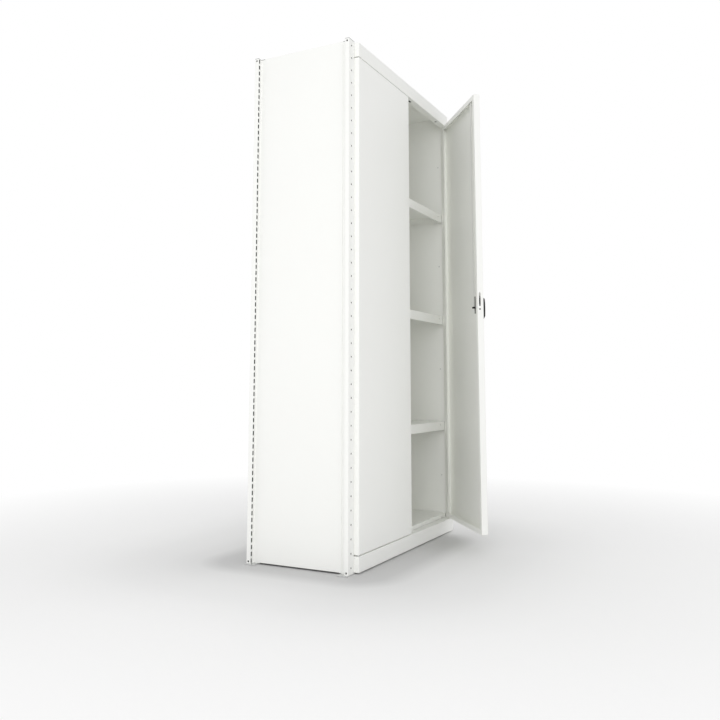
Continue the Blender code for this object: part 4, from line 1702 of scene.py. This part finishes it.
@dataclass
class Fasteners:
    """The screws and rivets of the carcass and the screw in the lock case."""

    post_screw: Screw = Screw()
    case_screw: Screw = Screw(head_radius=0.0035, head_height=0.0011, shank_radius=0.0020,
                              recess_reach=0.0018, recess_width=0.0008, recess_depth=0.0008)
    panel_rivet: Rivet = Rivet(0.0031, 0.0009, 0.0002)
    rivet_depth: float = 0.0422
    rivet_levels: tuple[float, ...] = (0.25, 0.75, 1.25, 1.75)

    def end_places(self) -> Iterator[Matrix]:
        """Find the screws that fix rails and back panel to the posts.

        Yields:
            The place of each screw.
        """
        sideways = {1.0: Matrix.Rotation(QUARTER, 4, "Y"), -1.0: Matrix.Rotation(-QUARTER, 4, "Y")}
        half_depth = Posts.cross_depth / 2
        rail_low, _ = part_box("door_left")
        back_low, back_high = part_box("back_panel")
        post_low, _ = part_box("post_front_left")
        for height in (Posts.end_hole_inset, BAY_HEIGHT - Posts.end_hole_inset):
            for wall, y in ((rail_low.x, post_low.y + half_depth), (back_low.x, back_high.y - half_depth)):
                for sign in (1.0, -1.0):
                    yield Matrix.Translation((sign * (wall + Rails.sheet), y, height)) @ sideways[sign]

    def panel_rivets(self) -> Shape:
        """Set the rivets that hold the side panels to the posts' stems, headed inside the bay.

        Returns:
            The rivets.
        """
        shape = Shape()
        for corner in Corner:
            side = corner.bay_side
            for level in self.rivet_levels:
                spot = Matrix.Translation((side * Posts.stem_thick / 2, self.rivet_depth, level))
                place = corner.place() @ spot @ Matrix.Rotation(side * QUARTER, 4, "Y")
                self.panel_rivet.set_at(shape, place)
        return shape

    def build(self) -> None:
        """Set them all."""
        add_piece("post_screws", self.post_screw.at(self.end_places()), ZINC, Body.CARCASS)
        add_piece("panel_rivets", self.panel_rivets().to_mesh("rivets"), ZINC, Body.CARCASS)
        place = door_frame(Side.RIGHT)
        low, _ = local_box("door_right", place)
        spot = Matrix.Translation((low.x, low.y + Doors.slot_behind_front, Doors.screw_height))
        mesh = self.case_screw.at([spot @ Matrix.Rotation(-QUARTER, 4, "Y")])
        add_piece("case_screw", mesh, DARK_STEEL_AND_PAINTED_SHADE, Body.RIGHT_DOOR, (), place)


@dataclass
class Studio:
    """A pale floor, soft light and the camera at the photograph's angle.

    The floor's painted shadow is listed as (distance in metres from the painted shadow's box under the
    cupboard, grey).
    """

    camera_place: Point = (-3.0211, -1.4025, 0.6676)
    camera_yaw: float = 62.68
    camera_pitch: float = 7.13
    lens: float = 38.71
    sensor: float = 36.0
    shift_y: float = -0.0981
    clip_end: float = 200.0
    sky_strength: float = 0.778
    lamp_place: Point = (-4.77, -1.68, 1.7)
    lamp_aim: Point = (0.0, 0.0, 1.0)
    lamp_size: float = 2.5
    lamp_power: float = 56.0
    light_bounces: int = 16
    floor_half: float = 30.0
    floor_drop: float = 0.0002
    floor_roughness: float = 0.8
    floor_specular: float = 0.1
    # A shadow painted into the floor's colour: a box under the cupboard, and greys by distance from it
    painted_shadow_middle: Point = (-0.12, 0.154, 0.0)
    painted_shadow_half: Point = (0.34, 0.218, 1.0)
    painted_floor_shadow: tuple[tuple[float, float], ...] = (
        (0.0, 0.60), (0.13, 0.65), (0.215, 0.82), (0.35, 0.885), (0.6, 0.955), (0.8, 0.98))
    fade_from: float = 0.5
    fade_to: float = 2.4

    def camera(self) -> None:
        """Set the camera up."""
        data = bpy.data.cameras.new("view")
        data.lens = self.lens
        data.sensor_width = self.sensor
        data.shift_y = self.shift_y
        data.clip_end = self.clip_end
        item = bpy.data.objects.new("view", data)
        item.location = self.camera_place
        tilt = math.radians(90.0 + self.camera_pitch)
        item.rotation_euler = (tilt, 0.0, -math.radians(self.camera_yaw))
        bpy.context.scene.collection.objects.link(item)
        bpy.context.scene.camera = item

    def sky(self) -> None:
        """Light evenly from all round, and show plain white behind."""
        world = bpy.data.worlds.new("sky")
        bpy.context.scene.world = world
        graph = Graph(world)
        background = graph.tree.nodes["Background"]
        seen = graph.node("ShaderNodeLightPath", output="Is Camera Ray")
        graph.feed(background.inputs["Color"], (1.0, 1.0, 1.0, 1.0))
        graph.feed(background.inputs["Strength"], self.sky_strength + seen * (1.0 - self.sky_strength))

    def distance(self, graph: Graph) -> Value:
        """Measure the floor from the box of painted shadow under the cupboard.

        Args:
            graph: the floor's node tree.

        Returns:
            How far each point lies outside the painted shadow's box, in metres.
        """
        from_middle = graph.vector("ABSOLUTE", graph.vector("SUBTRACT", graph.place(), self.painted_shadow_middle))
        past = graph.vector("SUBTRACT", from_middle, self.painted_shadow_half)
        return graph.vector("LENGTH", graph.vector("MAXIMUM", past, (0.0, 0.0, 0.0)), output="Value")

    def floor_material(self) -> bpy.types.Material:
        """Make the floor's finish.

        Returns:
            A pale finish with a shadow painted into its colour under the cupboard, that fades to white far
            from it.
        """
        material = bpy.data.materials.new("pale_floor")
        graph = Graph(material)
        shader = graph.tree.nodes["Principled BSDF"]
        graph.feed(shader.inputs["Roughness"], self.floor_roughness)
        graph.feed(shader.inputs["Specular IOR Level"], self.floor_specular)
        away = self.distance(graph)
        # The base colour darkens near the cupboard: a painted shadow
        stops = [(metres, (shade, shade, shade)) for metres, shade in self.painted_floor_shadow]
        shade = graph.node("ShaderNodeValToRGB", {"stops": stops}, {"Fac": away})
        graph.feed(shader.inputs["Base Color"], shade)
        fade = graph.node("ShaderNodeMapRange", {},
                          {"Value": away, "From Min": self.fade_from, "From Max": self.fade_to})
        seen = graph.node("ShaderNodeLightPath", output="Is Camera Ray")
        white = graph.node("ShaderNodeEmission", {}, {"Color": (1.0, 1.0, 1.0, 1.0), "Strength": 1.0})
        ends = {0: fade * seen, 1: Value(graph, shader.outputs[0]), 2: white}
        graph.feed(graph.tree.nodes["Material Output"].inputs["Surface"],
                   graph.node("ShaderNodeMixShader", {}, ends))
        return material

    def floor(self) -> None:
        """Lay the floor."""
        shape = Shape()
        bmesh.ops.create_grid(shape.mesh, x_segments=2, y_segments=2, size=self.floor_half)
        item = shown("floor", shape.to_mesh("floor"))
        item.location.z = -self.floor_drop
        item.data.materials.append(self.floor_material())

    def lamp(self) -> None:
        """Hang a square soft light."""
        data = bpy.data.lights.new("left_light", "AREA")
        data.shape = "SQUARE"
        data.size = self.lamp_size
        data.energy = self.lamp_power
        item = bpy.data.objects.new("left_light", data)
        item.location = self.lamp_place
        way = Vector(self.lamp_aim) - Vector(self.lamp_place)
        item.rotation_euler = way.to_track_quat("-Z", "Y").to_euler()
        bpy.context.scene.collection.objects.link(item)

    def build(self) -> None:
        """Set up the studio."""
        self.camera()
        self.sky()
        self.floor()
        self.lamp()
        scene = bpy.context.scene
        scene.view_settings.view_transform = "Standard"
        scene.cycles.max_bounces = self.light_bounces
        scene.cycles.diffuse_bounces = self.light_bounces


def main() -> None:
    """Build the cupboard's looks in order."""
    logging.basicConfig(level=logging.INFO, format="%(name)s: %(message)s")
    for assembly in (Posts(), Feet(), Cladding(), Rails(), Shelves(), Clips(), Doors(), Hinges(), Handle(),
                     Lock(), Fasteners(), Studio()):
        log.info("building %s", type(assembly).__name__)
        assembly.build()


if __name__ == "__main__":
    main()
